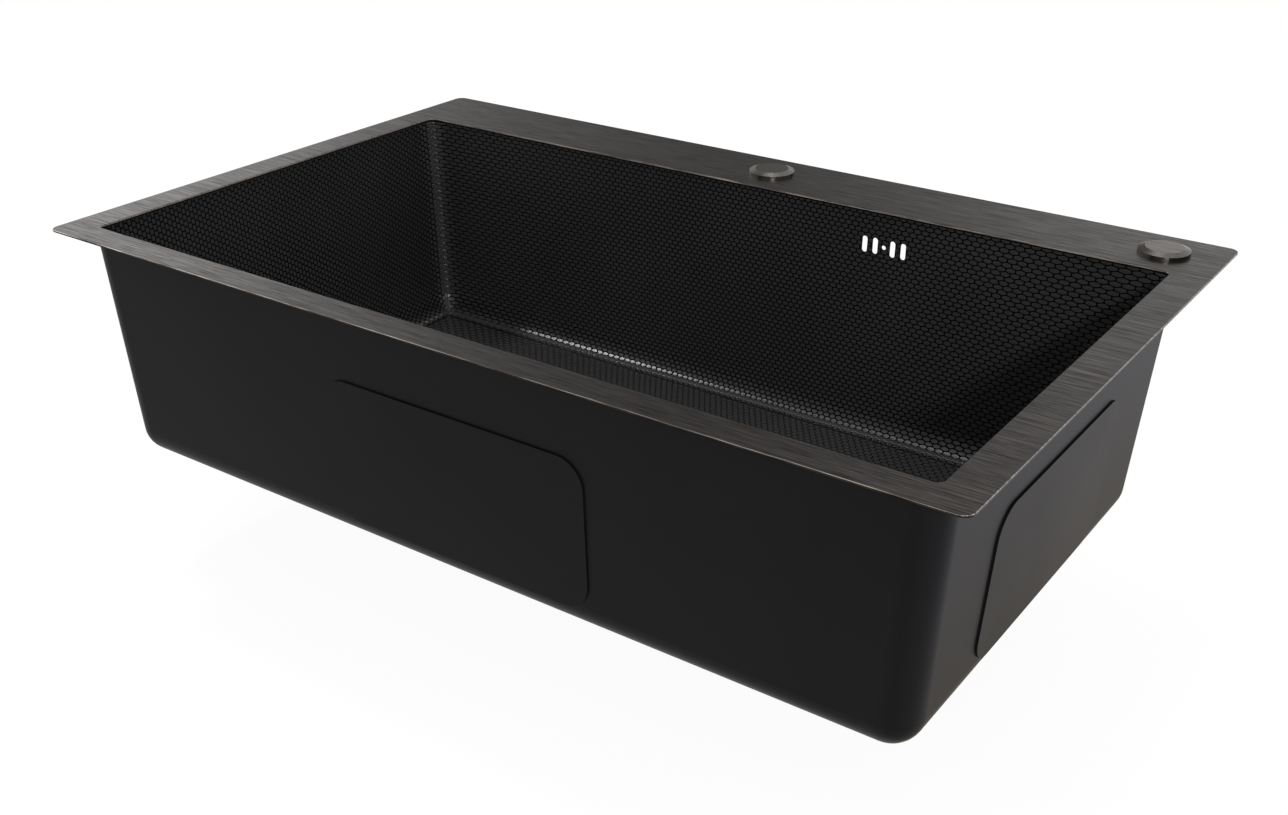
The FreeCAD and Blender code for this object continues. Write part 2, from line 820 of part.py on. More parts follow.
def waste_body():
    """Moulded cup under the bowl: ribbed screw boss, funnel, and a flat collar for the spigot."""
    body = new_body("waste_body")
    cup_outer = s.waste_cup_inner + s.waste_wall
    revolve(body, [
        (s.waste_cup_inner, waste_top),
        (s.waste_flange, waste_top),
        (s.waste_flange, waste_top - s.waste_flange_thick),
        (cup_outer, waste_top - s.waste_flange_thick),
        (cup_outer, funnel_top - s.waste_wall / 2),
        (s.outlet_radius, tail_top),
        (outlet_inner, tail_top),
        (outlet_inner, funnel_bottom),
        (s.waste_cup_inner, funnel_top),
    ])
    rib = new_sketch(body, "XZ_Plane", "rib")
    bite = s.waste_rib_bite
    polygon(rib, [
        (s.screw_radius + bite, strainer_boss_under - bite),
        (s.waste_cup_inner + bite, strainer_boss_under - bite),
        (s.waste_cup_inner + bite, funnel_top),
        (outlet_inner + bite, funnel_bottom),
        (s.screw_radius + bite, funnel_bottom),
    ])
    feature = pad(body, rib, s.waste_rib, both_sides=True)
    polar(body, feature, WASTE_RIBS)
    boss = new_sketch(body, "XY_Plane", "boss", strainer_boss_under)
    circle(boss, ZERO, ZERO, s.waste_boss)
    pad(body, boss, s.waste_boss_height, backwards=True)
    thread = new_sketch(body, "XY_Plane", "thread", strainer_boss_under)
    circle(thread, ZERO, ZERO, s.screw_radius)
    pocket(body, thread)
    collar = new_sketch(body, "XZ_Plane", "collar", -s.spigot_collar_reach)
    circle(collar, ZERO, spigot_z, s.spigot_collar)
    wall_middle = s.waste_cup_inner + s.waste_wall / 2
    pad(body, collar, s.spigot_collar_reach - reach(wall_middle, s.spigot_collar))
    bore = new_sketch(body, "XZ_Plane", "spigot_bore", -s.spigot_collar_reach)
    circle(bore, ZERO, spigot_z, s.spigot_radius - s.spigot_wall)
    pocket(body, bore, s.spigot_collar_reach - s.waste_cup_inner / 2, backwards=True)
    return body


def waste_tail():
    """Threaded tail under the cup, which the trap's nut goes on."""
    body = new_body("waste_tail")
    ring(body, outlet_inner, s.outlet_radius, outlet_end, tail_top)
    return body


def overflow_spigot():
    """Hose tail on the cup's collar."""
    body = new_body("overflow_spigot")
    sketch = new_sketch(body, "XZ_Plane", "outline", -s.spigot_reach)
    circle(sketch, ZERO, spigot_z, s.spigot_radius)
    circle(sketch, ZERO, spigot_z, s.spigot_radius - s.spigot_wall)
    pad(body, sketch, s.spigot_reach - s.spigot_collar_reach)
    return body


def waste_screw():
    """Countersunk screw that draws the strainer down on the waste body."""
    body = new_body("waste_screw")
    foot = dish_floor - s.screw_length
    revolve(body, [
        (ZERO, dish_floor),
        (s.screw_head, dish_floor),
        (s.screw_radius, dish_floor - (s.screw_head - s.screw_radius)),
        (s.screw_radius, foot),
        (ZERO, foot),
    ])
    drive = new_sketch(body, "XY_Plane", "drive", dish_floor)
    half_length = s.screw_head + s.cut_overrun
    half_width = s.screw_slot_width / 2
    polygon(drive, [
        (-half_length, -half_width),
        (half_length, -half_width),
        (half_length, half_width),
        (-half_length, half_width),
    ])
    pocket(body, drive, s.screw_slot_depth)
    return body


def basket():
    """Lift-out strainer basket with slotted wall, slotted floor and a guide for the post."""
    body = new_body("basket")
    lip = basket_under + s.basket_lip_thick
    guide = s.post_radius + s.post_clearance
    revolve(body, [
        (s.basket_top, basket_under),
        (s.basket_lip, basket_under),
        (s.basket_lip, lip),
        (s.basket_top - s.basket_sheet, lip),
        (s.basket_bottom - s.basket_sheet, basket_floor),
        (s.basket_collar, basket_floor),
        (s.basket_collar, basket_floor + s.basket_collar_height),
        (guide, basket_floor + s.basket_collar_height),
        (guide, basket_floor - s.basket_sheet),
        (s.basket_bottom, basket_floor - s.basket_sheet),
    ])
    wall = new_sketch(body, "YZ_Plane", "wall_slot", s.basket_bottom / 2)
    middle = (basket_floor + basket_under) / 2
    half_width = s.basket_slot_width / 2
    half_height = s.basket_slot_height / 2
    polygon(wall, [
        (-half_width, middle - half_height),
        (half_width, middle - half_height),
        (half_width, middle + half_height),
        (-half_width, middle + half_height),
    ])
    polar(body, pocket(body, wall, backwards=True), BASKET_WALL_SLOTS)
    floor = new_sketch(body, "XY_Plane", "floor_slot", basket_floor)
    centre = (s.basket_floor_slot_inner + s.basket_floor_slot_outer) / 2
    length = s.basket_floor_slot_outer - s.basket_floor_slot_inner
    slot(floor, ZERO, centre, s.basket_slot_width, length)
    polar(body, pocket(body, floor, s.basket_sheet + s.cut_overrun), BASKET_FLOOR_SLOTS)
    return body


def stopper_post():
    """Rod through the basket's guide, with the shoulder that backs the seal."""
    body = new_body("stopper_post")
    revolve(body, [
        (ZERO, post_top),
        (s.post_radius, post_top),
        (s.post_radius, shoulder_top),
        (s.shoulder_radius, shoulder_top),
        (s.shoulder_radius, seal_web_top),
        (s.post_radius, seal_web_top),
        (s.post_radius, nut_top - s.nut_thick),
        (ZERO, nut_top - s.nut_thick),
    ])
    return body


def stopper_knob():
    """Waisted finger knob on top of the post."""
    body = new_body("stopper_knob")
    waist = knob_under + s.knob_height / 2
    revolve(body, [
        (s.post_radius, knob_under),
        (s.knob_neck, knob_under),
        (s.knob_neck, waist),
        (s.knob_radius, waist + s.knob_bevel),
        (s.knob_radius, knob_top - s.knob_bevel),
        (s.knob_radius - s.knob_bevel, knob_top),
        (ZERO, knob_top),
        (ZERO, post_top),
        (s.post_radius, post_top),
    ])
    return body


def stopper_seal():
    """Rubber disc with a raised middle and a flat sealing lip."""
    body = new_body("stopper_seal")
    lip_inner = s.seal_radius - s.seal_lip_width
    web_under = seal_web_top - s.seal_thick
    revolve(body, [
        (lip_inner, seal_under),
        (s.seal_radius, seal_under),
        (s.seal_radius, seal_under + s.seal_thick),
        (lip_inner, seal_under + s.seal_thick),
        (lip_inner - s.seal_rise, seal_web_top),
        (s.post_radius, seal_web_top),
        (s.post_radius, web_under),
        (lip_inner - s.seal_rise - s.seal_thick / 2, web_under),
    ])
    return body


def stopper_nut():
    """Thin hexagon nut under the seal."""
    blank = doc.addObject("Part::Prism", "stopper_nut_blank")
    blank.Polygon = NUT_SIDES
    bind(blank, "Circumradius", s.nut_flats / math.sqrt(3))
    bind(blank, "Height", s.nut_thick)
    bore = doc.addObject("Part::Cylinder", "stopper_nut_bore")
    bind(bore, "Radius", s.post_radius)
    bind(bore, "Height", s.nut_thick)
    nut = doc.addObject("Part::Cut", "stopper_nut")
    nut.Base = blank
    nut.Tool = bore
    nut.Label = "stopper_nut"
    for piece in (blank, bore):
        bind(piece, "Placement.Base.z", nut_top - s.nut_thick)
    return nut


def export(pieces):
    """Check every feature of the document and every piece, then write the STEP files."""
    doc.recompute()
    for item in doc.Objects:
        if "Invalid" in item.State or "Error" in item.State:
            raise RuntimeError(f"{item.Name} failed: {item.State}")
    for piece in pieces:
        if piece.Shape.isNull() or not piece.Shape.isValid():
            raise RuntimeError(f"{piece.Label} has no valid shape")
    os.makedirs("parts", exist_ok=True)
    for piece in pieces:
        piece.Shape.exportStep(f"parts/{piece.Label}.step")


pieces = [rim_plate(), bowl(), *wall_pads(), *bottom_pads(), *tap_hole_covers()]
pieces += [flange_seal(), under_seal(), strainer_flange(), strainer_plate(), waste_screw()]
pieces += [waste_body(), waste_tail(), overflow_spigot()]
pieces += [basket(), stopper_post(), stopper_knob(), stopper_seal(), stopper_nut()]
export(pieces)
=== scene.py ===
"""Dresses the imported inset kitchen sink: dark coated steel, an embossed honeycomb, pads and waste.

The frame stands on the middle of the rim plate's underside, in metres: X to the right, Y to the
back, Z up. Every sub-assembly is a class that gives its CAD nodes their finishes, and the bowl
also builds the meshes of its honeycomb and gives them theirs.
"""

import logging
import math
from dataclasses import dataclass, replace
from enum import Enum

import bpy
import numpy as np
from mathutils import Matrix, Vector


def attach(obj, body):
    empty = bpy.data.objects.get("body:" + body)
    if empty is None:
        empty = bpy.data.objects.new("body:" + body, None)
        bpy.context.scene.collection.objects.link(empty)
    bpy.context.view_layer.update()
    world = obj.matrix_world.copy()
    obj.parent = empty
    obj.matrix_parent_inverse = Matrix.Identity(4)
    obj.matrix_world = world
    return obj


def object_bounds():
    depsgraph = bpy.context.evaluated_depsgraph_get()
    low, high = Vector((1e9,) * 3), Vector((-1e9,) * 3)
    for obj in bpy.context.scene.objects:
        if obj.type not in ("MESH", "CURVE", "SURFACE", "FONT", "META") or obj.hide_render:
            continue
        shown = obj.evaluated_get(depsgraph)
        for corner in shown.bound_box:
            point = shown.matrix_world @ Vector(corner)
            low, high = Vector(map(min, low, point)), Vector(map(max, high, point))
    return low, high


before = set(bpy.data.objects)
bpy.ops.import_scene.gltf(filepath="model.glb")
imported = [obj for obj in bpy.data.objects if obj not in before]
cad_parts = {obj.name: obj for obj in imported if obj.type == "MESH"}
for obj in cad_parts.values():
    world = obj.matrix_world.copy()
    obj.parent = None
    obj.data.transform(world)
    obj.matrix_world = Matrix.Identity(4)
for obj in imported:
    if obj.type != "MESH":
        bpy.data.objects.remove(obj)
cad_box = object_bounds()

MM = 0.001
SINK_BODY = "sink"
GRAIN_HEIGHT = 0.05 * MM  # of every bump
NORMAL_STEP = 0.02  # path to either side of a normal's place, in millimetres
SHORTEST = 1e-9  # distance that is divided by
LEAST_CROSS = 1e-11  # twice the area, in square metres, of a triangle that is kept
LEAST_NORMAL = 1e-12  # cross product, in square metres, that is divided by
SIDES = 6  # of a cell
CROWN_POINTS = 2 * SIDES
MIX_INPUTS = (0, 6, 7)  # the fraction and the two colours of a Mix node
MIX_RESULT = 2
WHITE = (1.0, 1.0, 1.0, 1.0)
log = logging.getLogger("sink")

Colour = tuple[float, float, float]
Span = tuple[float, float]
Arrays = tuple[np.ndarray, np.ndarray, np.ndarray]


class Grain(Enum):
    """The two shared grain groups, by the names of their node groups."""

    BRUSHED = "Brushed grain"
    SATIN = "Satin grain"


class Wiring:
    """Adds and joins nodes in one material or group."""

    def __init__(self, tree: bpy.types.NodeTree) -> None:
        """Takes a node tree and clears it.

        Args:
            tree: the tree of a material or of a shader group.
        """
        self.tree = tree
        tree.nodes.clear()

    def put(self, socket: bpy.types.NodeSocket, value: object) -> None:
        """Gives an input its value, or joins it to an output socket.

        Args:
            socket: the input.
            value: a plain value or an output socket.
        """
        if isinstance(value, bpy.types.NodeSocket):
            self.tree.links.new(value, socket)
        else:
            socket.default_value = value

    def add(self, kind: str, values: dict | None = None, **settings: object) -> bpy.types.Node:
        """Adds one node.

        Args:
            kind: the node's type name.
            values: input values or output sockets to join, by input name or number.
            settings: properties of the node itself.

        Returns:
            The new node.
        """
        node = self.tree.nodes.new(kind)
        for name, setting in settings.items():
            setattr(node, name, setting)
        for key, value in (values or {}).items():
            self.put(node.inputs[key], value)
        return node

    def math(self, operation: str, *terms: object) -> bpy.types.NodeSocket:
        """Adds a Math node and gives its result socket."""
        return self.add("ShaderNodeMath", dict(enumerate(terms)), operation=operation).outputs[0]

    def blend(self, fraction: object, low: object, high: object) -> bpy.types.NodeSocket:
        """Adds a colour mix from low to high and gives its result socket."""
        values = dict(zip(MIX_INPUTS, (fraction, low, high)))
        return self.add("ShaderNodeMix", values, data_type="RGBA").outputs[MIX_RESULT]

    def vary(self, fraction: object, colour: Colour, contrast: float) -> bpy.types.NodeSocket:
        """Mixes a colour from a share darker to the same share lighter."""
        return self.blend(fraction, rgba(colour, 1 - contrast), rgba(colour, 1 + contrast))

    def seen(self, rays: bpy.types.Node, *kinds: str) -> bpy.types.NodeSocket:
        """Tells the rays of some kinds from all others.

        Args:
            rays: a Light Path node.
            kinds: the names of its outputs for those kinds.

        Returns:
            A socket that is 1 for a ray of any of those kinds and 0 otherwise.
        """
        found = rays.outputs[kinds[0]]
        for kind in kinds[1:]:
            found = self.math("MAXIMUM", found, rays.outputs[kind])
        return found

    def remap(self, value: object, low: float, high: float, to_low: float = 0.0,
              to_high: float = 1.0) -> bpy.types.NodeSocket:
        """Maps a value from one range to another, clamped, and gives its result socket."""
        values = {"Value": value, "From Min": low, "From Max": high, "To Min": to_low, "To Max": to_high}
        return self.add("ShaderNodeMapRange", values).outputs["Result"]

    def finish(self, shader: bpy.types.Node, output: str = "ShaderNodeOutputMaterial") -> None:
        """Joins the last shader to the surface of an output node."""
        self.add(output, {"Surface": shader.outputs[0]})

    def coat(self, grain: bpy.types.Node, relief: float, values: dict) -> None:
        """Ends a material with one shader over the bump of its grain.

        Args:
            grain: the node of the grain group.
            relief: strength of the bump.
            values: the shader's other inputs.
        """
        bump = self.add("ShaderNodeBump", {
            "Strength": relief, "Distance": GRAIN_HEIGHT, "Height": grain.outputs["Height"],
        })
        self.finish(self.add("ShaderNodeBsdfPrincipled", values | {"Normal": bump.outputs[0]}))


def new_group(name: str, inputs: dict[str, float],
              outputs: tuple[str, ...]) -> tuple[bpy.types.NodeTree, Wiring]:
    """Starts a shader group with plain value sockets.

    Args:
        name: the group's name.
        inputs: each input's name and its default.
        outputs: the names of the outputs.

    Returns:
        The group and its wiring.
    """
    group = bpy.data.node_groups.new(name, "ShaderNodeTree")
    for label, value in inputs.items():
        socket = group.interface.new_socket(label, in_out="INPUT", socket_type="NodeSocketFloat")
        socket.default_value = value
    for label in outputs:
        group.interface.new_socket(label, in_out="OUTPUT", socket_type="NodeSocketFloat")
    return group, Wiring(group)


def new_material(name: str) -> tuple[bpy.types.Material, Wiring]:
    """Starts a material that is made of nodes.

    Args:
        name: the material's name.

    Returns:
        The material and its wiring.
    """
    material = bpy.data.materials.new(name)
    material.use_nodes = True
    return material, Wiring(material.node_tree)


def brushed_grain_group() -> bpy.types.NodeTree:
    """Grain of a brushed sheet: noise stretched along the brush, as a tone and a height.

    The tone is mostly a fine streak noise, plus a share of one whose place is scaled down. Each
    noise is first spread from its own narrow range to 0 and 1. The height is the fine noise alone.

    Returns:
        The group.
    """
    fine_range, slow_range = (0.41, 0.59), (0.35, 0.65)
    slow_scale, slow_share = 0.22, 0.2
    group, wires = new_group(Grain.BRUSHED.value, {"X": 6.0, "Y": 900.0, "Z": 900.0}, ("Tone", "Height"))
    given = wires.add("NodeGroupInput")
    place = wires.add("ShaderNodeTexCoord").outputs["Object"]
    scale = wires.add("ShaderNodeCombineXYZ", {axis: given.outputs[axis] for axis in "XYZ"}).outputs[0]
    stretched = wires.add("ShaderNodeVectorMath", {0: place, 1: scale}, operation="MULTIPLY").outputs[0]
    fine = wires.add("ShaderNodeTexNoise", {
        "Vector": stretched, "Scale": 1.0, "Detail": 5.0, "Roughness": 0.65,
    })
    slow_place = wires.add("ShaderNodeVectorMath", {0: stretched, 1: (slow_scale,) * 3}, operation="MULTIPLY")
    slow = wires.add("ShaderNodeTexNoise", {"Vector": slow_place.outputs[0], "Scale": 1.0, "Detail": 2.0})
    fine_tone = wires.remap(fine.outputs["Fac"], *fine_range)
    slow_tone = wires.remap(slow.outputs["Fac"], *slow_range)
    part = wires.math("MULTIPLY", slow_tone, slow_share)
    tone = wires.math("MULTIPLY_ADD", fine_tone, 1 - slow_share, part)
    wires.add("NodeGroupOutput", {"Tone": tone, "Height": fine.outputs["Fac"]})
    return group


def satin_grain_group() -> bpy.types.NodeTree:
    """Grain of a blasted, moulded or rubber skin: fine even noise over slow clouds.

    Each is spread from its own narrow range to 0 and 1, and the height is the fine noise alone.

    Returns:
        The group.
    """
    fine_range, cloud_range = (0.3, 0.7), (0.35, 0.65)
    sockets = {"Fineness": 1500.0, "Clouds": 9.0}
    group, wires = new_group(Grain.SATIN.value, sockets, ("Tone", "Cloud", "Height"))
    given = wires.add("NodeGroupInput")
    place = wires.add("ShaderNodeTexCoord").outputs["Object"]
    fine, cloud = (
        wires.add("ShaderNodeTexNoise", {"Vector": place, "Scale": given.outputs[scale], "Detail": 3.0})
        for scale in sockets
    )
    tone = wires.remap(fine.outputs["Fac"], *fine_range)
    soft = wires.remap(cloud.outputs["Fac"], *cloud_range)
    wires.add("NodeGroupOutput", {"Tone": tone, "Cloud": soft, "Height": fine.outputs["Fac"]})
    return group


def grain_group(grain: Grain) -> bpy.types.NodeTree:
    """Gives a shared grain group, built the first time that it is asked for."""
    makers = {Grain.BRUSHED: brushed_grain_group, Grain.SATIN: satin_grain_group}
    return bpy.data.node_groups.get(grain.value) or makers[grain]()


def rgba(colour: Colour, gain: float = 1.0) -> tuple[float, float, float, float]:
    """Gives a linear colour, times a gain, with full alpha."""
    return (colour[0] * gain, colour[1] * gain, colour[2] * gain, 1.0)


@dataclass(frozen=True)
class BrushedSteel:
    """Coated or bare steel with a brushed grain.

    Args:
        name: the material's name.
        colour: linear colour of the metal, which is its reflection straight on.
        along: grain cells per metre along the brush.
        across: grain cells per metre across the brush.
        contrast: share by which the grain darkens the colour.
        lightening: how many times that share it lightens the colour.
        roughness: mean roughness.
        spread: how far the grain takes the roughness up and down.
        relief: strength of the grain's bump.
        side: gain on upright faces that look outwards, whose coat lies in shade: painted shade.
        bevel_highlight: gain on the bevels that look outwards: a painted highlight.
        cut: gain on upright faces that look inwards, where the plate is cut and ground matt: it lightens them
            as bare steel and, beyond that, as a painted highlight.
        cut_metal: share of metal on those faces.
    """

    name: str
    colour: Colour
    along: float = 45.0
    across: float = 1000.0
    contrast: float = 0.3
    lightening: float = 1.5
    roughness: float = 0.33
    spread: float = 0.08
    relief: float = 0.12
    side: float = 1.0
    bevel_highlight: float = 1.0
    cut: float = 1.0
    cut_metal: float = 1.0

    def edges(self, wires: Wiring) -> tuple[bpy.types.NodeSocket, bpy.types.NodeSocket | float]:
        """Gives the gain on the colour and the share of metal, which both change on edges: the gain paints
        shade on upright outer faces and a highlight on outer bevels, and lightens the inner cut faces as bare
        ground steel and as a painted highlight.

        A face is an edge by how far its normal is from upright, and it looks inwards where its
        normal points against the place itself.

        Args:
            wires: the material's wiring.

        Returns:
            The gain's socket, and the share of metal as a socket, or as 1 where it is all metal.
        """
        bevel_range, flat_range, blur = (0.3, 0.6), (0.8, 0.95), 5 * MM
        coordinates = wires.add("ShaderNodeTexCoord")
        normal = coordinates.outputs["Normal"]
        level = wires.math("ABSOLUTE", wires.add("ShaderNodeSeparateXYZ", {"Vector": normal}).outputs["Z"])
        facing = wires.add("ShaderNodeVectorMath", {0: coordinates.outputs["Object"], 1: normal},
                           operation="DOT_PRODUCT").outputs["Value"]
        inward = wires.remap(facing, -blur, blur, 1.0, 0.0)
        # painted shade on upright outer faces from the side gain, painted highlight on outer bevels from the
        # bevel gain
        outer = wires.remap(level, *bevel_range, self.side, self.bevel_highlight)
        # inner cut faces: bare ground steel, lightened further by the cut gain as a painted highlight
        edge = wires.math("MULTIPLY_ADD", inward, wires.math("SUBTRACT", self.cut, outer), outer)
        top = wires.remap(level, *flat_range)
        gain = wires.math("MULTIPLY_ADD", top, wires.math("SUBTRACT", 1.0, edge), edge)
        if self.cut_metal == 1.0:
            return gain, 1.0
        matt = wires.math("MULTIPLY", inward, wires.math("SUBTRACT", 1.0, top))
        return gain, wires.remap(matt, 0.0, 1.0, 1.0, self.cut_metal)

    def build(self) -> bpy.types.Material:
        """Makes the material: the grain drives the colour, the roughness and the bump.

        Returns:
            The material.
        """
        material, wires = new_material(self.name)
        streaks = wires.add("ShaderNodeGroup", {"X": self.along, "Y": self.across, "Z": self.across},
                            node_tree=grain_group(Grain.BRUSHED))
        dark = rgba(self.colour, 1 - self.contrast)
        light = rgba(self.colour, 1 + self.lightening * self.contrast)
        grained = wires.blend(streaks.outputs["Tone"], dark, light)
        gain, metal = self.edges(wires)
        colour = wires.add("ShaderNodeVectorMath", {0: grained, "Scale": gain}, operation="SCALE").outputs[0]
        rough = wires.remap(streaks.outputs["Tone"], 0.0, 1.0, self.roughness + self.spread,
                            self.roughness - self.spread)
        wires.coat(streaks, self.relief, {"Base Color": colour, "Metallic": metal, "Roughness": rough})
        return material


@dataclass(frozen=True)
class SatinSkin:
    """Even satin surface: coated sheet, rubber or moulded plastic.

    Args:
        name: the material's name.
        colour: linear colour.
        metallic: 1 for coated steel, 0 for rubber and plastic.
        roughness: mean roughness.
        specular: specular level of a skin that is not metal.
        fineness: grain cells per metre.
        relief: strength of the grain's bump.
        contrast: share by which the grain and the clouds vary the colour.
        spread: how far they take the roughness up and down.
    """

    name: str
    colour: Colour
    metallic: float = 1.0
    roughness: float = 0.4
    specular: float = 0.5
    fineness: float = 1500.0
    relief: float = 0.08
    contrast: float = 0.1
    spread: float = 0.03

    def build(self) -> bpy.types.Material:
        """Makes the material: tone and clouds vary colour and roughness, fine noise is the bump.

        Returns:
            The material.
        """
        tone_share = 0.4
        material, wires = new_material(self.name)
        skin = wires.add("ShaderNodeGroup", {"Fineness": self.fineness}, node_tree=grain_group(Grain.SATIN))
        clouds = wires.math("MULTIPLY", skin.outputs["Cloud"], 1 - tone_share)
        mixed = wires.math("MULTIPLY_ADD", skin.outputs["Tone"], tone_share, clouds)
        colour = wires.vary(mixed, self.colour, self.contrast)
        rough = wires.remap(mixed, 0.0, 1.0, self.roughness + self.spread, self.roughness - self.spread)
        wires.coat(skin, self.relief, {
            "Base Color": colour, "Metallic": self.metallic, "Roughness": rough,
            "Specular IOR Level": self.specular,
        })
        return material


@dataclass(frozen=True)
class PressedSheet:
    """Skin of the bowl: satin outside, black between the embossed cells inside.

    Args:
        name: the material's name.
        outside: linear colour of the outer skin.
        inside: linear colour of the grooves.
        centre: a point in the middle of the bowl, in metres.
        roughness: roughness outside.
        inner_roughness: roughness inside.
        specular: specular level, which is low on the dark coat.
        contrast: share by which the clouds vary the outer colour.
        relief: strength of the grain's bump.
    """

    name: str
    outside: Colour
    inside: Colour
    centre: tuple[float, float, float]
    roughness: float = 0.38
    inner_roughness: float = 0.5
    specular: float = 0.063
    contrast: float = 0.07
    relief: float = 0.05

    def build(self) -> bpy.types.Material:
        """Makes the material.

        A point is inside where its normal looks towards the middle of the bowl, so the mask is the
        sign of the normal times the way from the centre to the point.

        Returns:
            The material.
        """
        material, wires = new_material(self.name)
        coordinates = wires.add("ShaderNodeTexCoord")
        away = wires.add("ShaderNodeVectorMath", {0: coordinates.outputs["Object"], 1: self.centre},
                         operation="SUBTRACT")
        facing = wires.add("ShaderNodeVectorMath", {0: away.outputs[0], 1: coordinates.outputs["Normal"]},
                           operation="DOT_PRODUCT")
        outer = wires.remap(facing.outputs["Value"], -MM, MM)
        skin = wires.add("ShaderNodeGroup", node_tree=grain_group(Grain.SATIN))
        satin = wires.vary(skin.outputs["Cloud"], self.outside, self.contrast)
        colour = wires.blend(outer, rgba(self.inside), satin)
        rough = wires.remap(outer, 0.0, 1.0, self.inner_roughness, self.roughness)
        wires.coat(skin, self.relief, {
            "Base Color": colour, "Metallic": 0.0, "Roughness": rough, "Specular IOR Level": self.specular,
        })
        return material


@dataclass(frozen=True)
class EmbossedCells:
    """Raised honeycomb cells of coated metal, whose crowns darken into their grooves.

    Args:
        name: the material's name.
        crown: linear colour of a cell's top.
        groove: linear colour at its foot.
        edge: groove values between which the crown turns into the groove.
        roughness: roughness of the crown.
        groove_roughness: roughness of the groove.
        metallic: share of metal on the crown; the groove is all metal.
        specular: specular level.
        contrast: share by which the clouds vary the crown's colour.
        relief: strength of the grain's bump.
    """

    name: str
    crown: Colour
    groove: Colour
    edge: Span = (0.05, 0.28)
    roughness: float = 0.25
    groove_roughness: float = 0.6
    metallic: float = 0.3
    specular: float = 0.3
    contrast: float = 0.08
    relief: float = 0.06

    def build(self) -> bpy.types.Material:
        """Makes the material: the mesh's groove attribute blends crown into groove.

        Returns:
            The material.
        """
        material, wires = new_material(self.name)
        depth = wires.add("ShaderNodeAttribute", attribute_name="groove").outputs["Fac"]
        edge = wires.remap(depth, *self.edge)
        skin = wires.add("ShaderNodeGroup", node_tree=grain_group(Grain.SATIN))
        crown = wires.vary(skin.outputs["Cloud"], self.crown, self.contrast)
        colour = wires.blend(edge, crown, rgba(self.groove))
        rough = wires.remap(edge, 0.0, 1.0, self.roughness, self.groove_roughness)
        metal = wires.remap(edge, 0.0, 1.0, self.metallic, 1.0)
        wires.coat(skin, self.relief, {
            "Base Color": colour, "Metallic": metal, "Roughness": rough, "Specular IOR Level": self.specular,
        })
        return material


def dress(node: str, material: bpy.types.Material) -> None:
    """Gives one CAD node its finish.

    Args:
        node: the node's name.
        material: its finish.
    """
    mesh_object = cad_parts[node]
    mesh_object.data.materials.clear()
    mesh_object.data.materials.append(material)
    log.info("dressed %s in %s", node, material.name)


def mesh_piece(name: str, points: np.ndarray, triangles: np.ndarray, material: bpy.types.Material,
               body: str) -> bpy.types.Object:
    """Makes one faceted piece out of arrays and lets it ride on a body.

    Args:
        name: the piece's name.
        points: the vertices, in metres, as rows of x, y and z.
        triangles: rows of three vertex numbers.
        material: its finish.
        body: the CAD body that it moves with.

    Returns:
        The new object.
    """
    mesh = bpy.data.meshes.new(name)
    mesh.vertices.add(len(points))
    mesh.vertices.foreach_set("co", np.ascontiguousarray(points, np.float32).ravel())
    mesh.loops.add(triangles.size)
    mesh.loops.foreach_set("vertex_index", np.ascontiguousarray(triangles, np.int32).ravel())
    mesh.polygons.add(len(triangles))
    mesh.polygons.foreach_set("loop_start", np.arange(0, triangles.size, 3, dtype=np.int32))
    mesh.polygons.foreach_set("use_smooth", np.zeros(len(triangles), bool))
    mesh.update(calc_edges=True)
    mesh.materials.append(material)
    piece = bpy.data.objects.new(name, mesh)
    bpy.context.scene.collection.objects.link(piece)
    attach(piece, body)
    log.info("built %s: %d triangles", name, len(triangles))
    return piece


@dataclass(frozen=True)
class BowlShape:
    """The bowl's inner surface, in millimetres, about its own middle.

    Args:
        half_width: half of the mouth's width.
        half_depth: half of the mouth's depth from front to back.
        middle_y: the bowl's middle, from the middle of the rim.
        floor: depth of the floor below the mouth.
        corner: radius of the upright corners at the mouth.
        floor_round: radius of the rounding between walls and floor.
        side_slope: inward slope of the side walls.
        front_slope: inward slope of the front and back walls.
        recess: radius of the drain recess in the floor.
    """

    half_width: float = 377.5
    half_depth: float = 204.75
    middle_y: float = -25.85
    floor: float = 198.5
    corner: float = 22.1
    floor_round: float = 22.1
    side_slope: float = math.tan(math.radians(3.98))
    front_slope: float = math.tan(math.radians(2.09))
    recess: float = 61.0

    def flat_half(self, half: float, slope: float) -> float:
        """Half of the floor's flat, between the roundings of two walls that face each other.

        It is the half at the mouth less the run of the slope and the inset of the rounding, whose
        centre lies its radius over the cosine of the lean from the wall's plane, along the floor.

        Args:
            half: half of the mouth, in millimetres.
            slope: the walls' inward slope per millimetre of depth.

        Returns:
            The half, in millimetres.
        """
        to_centre = self.floor_round / math.cos(math.atan(slope))
        return half - slope * self.floor - (to_centre - slope * self.floor_round)


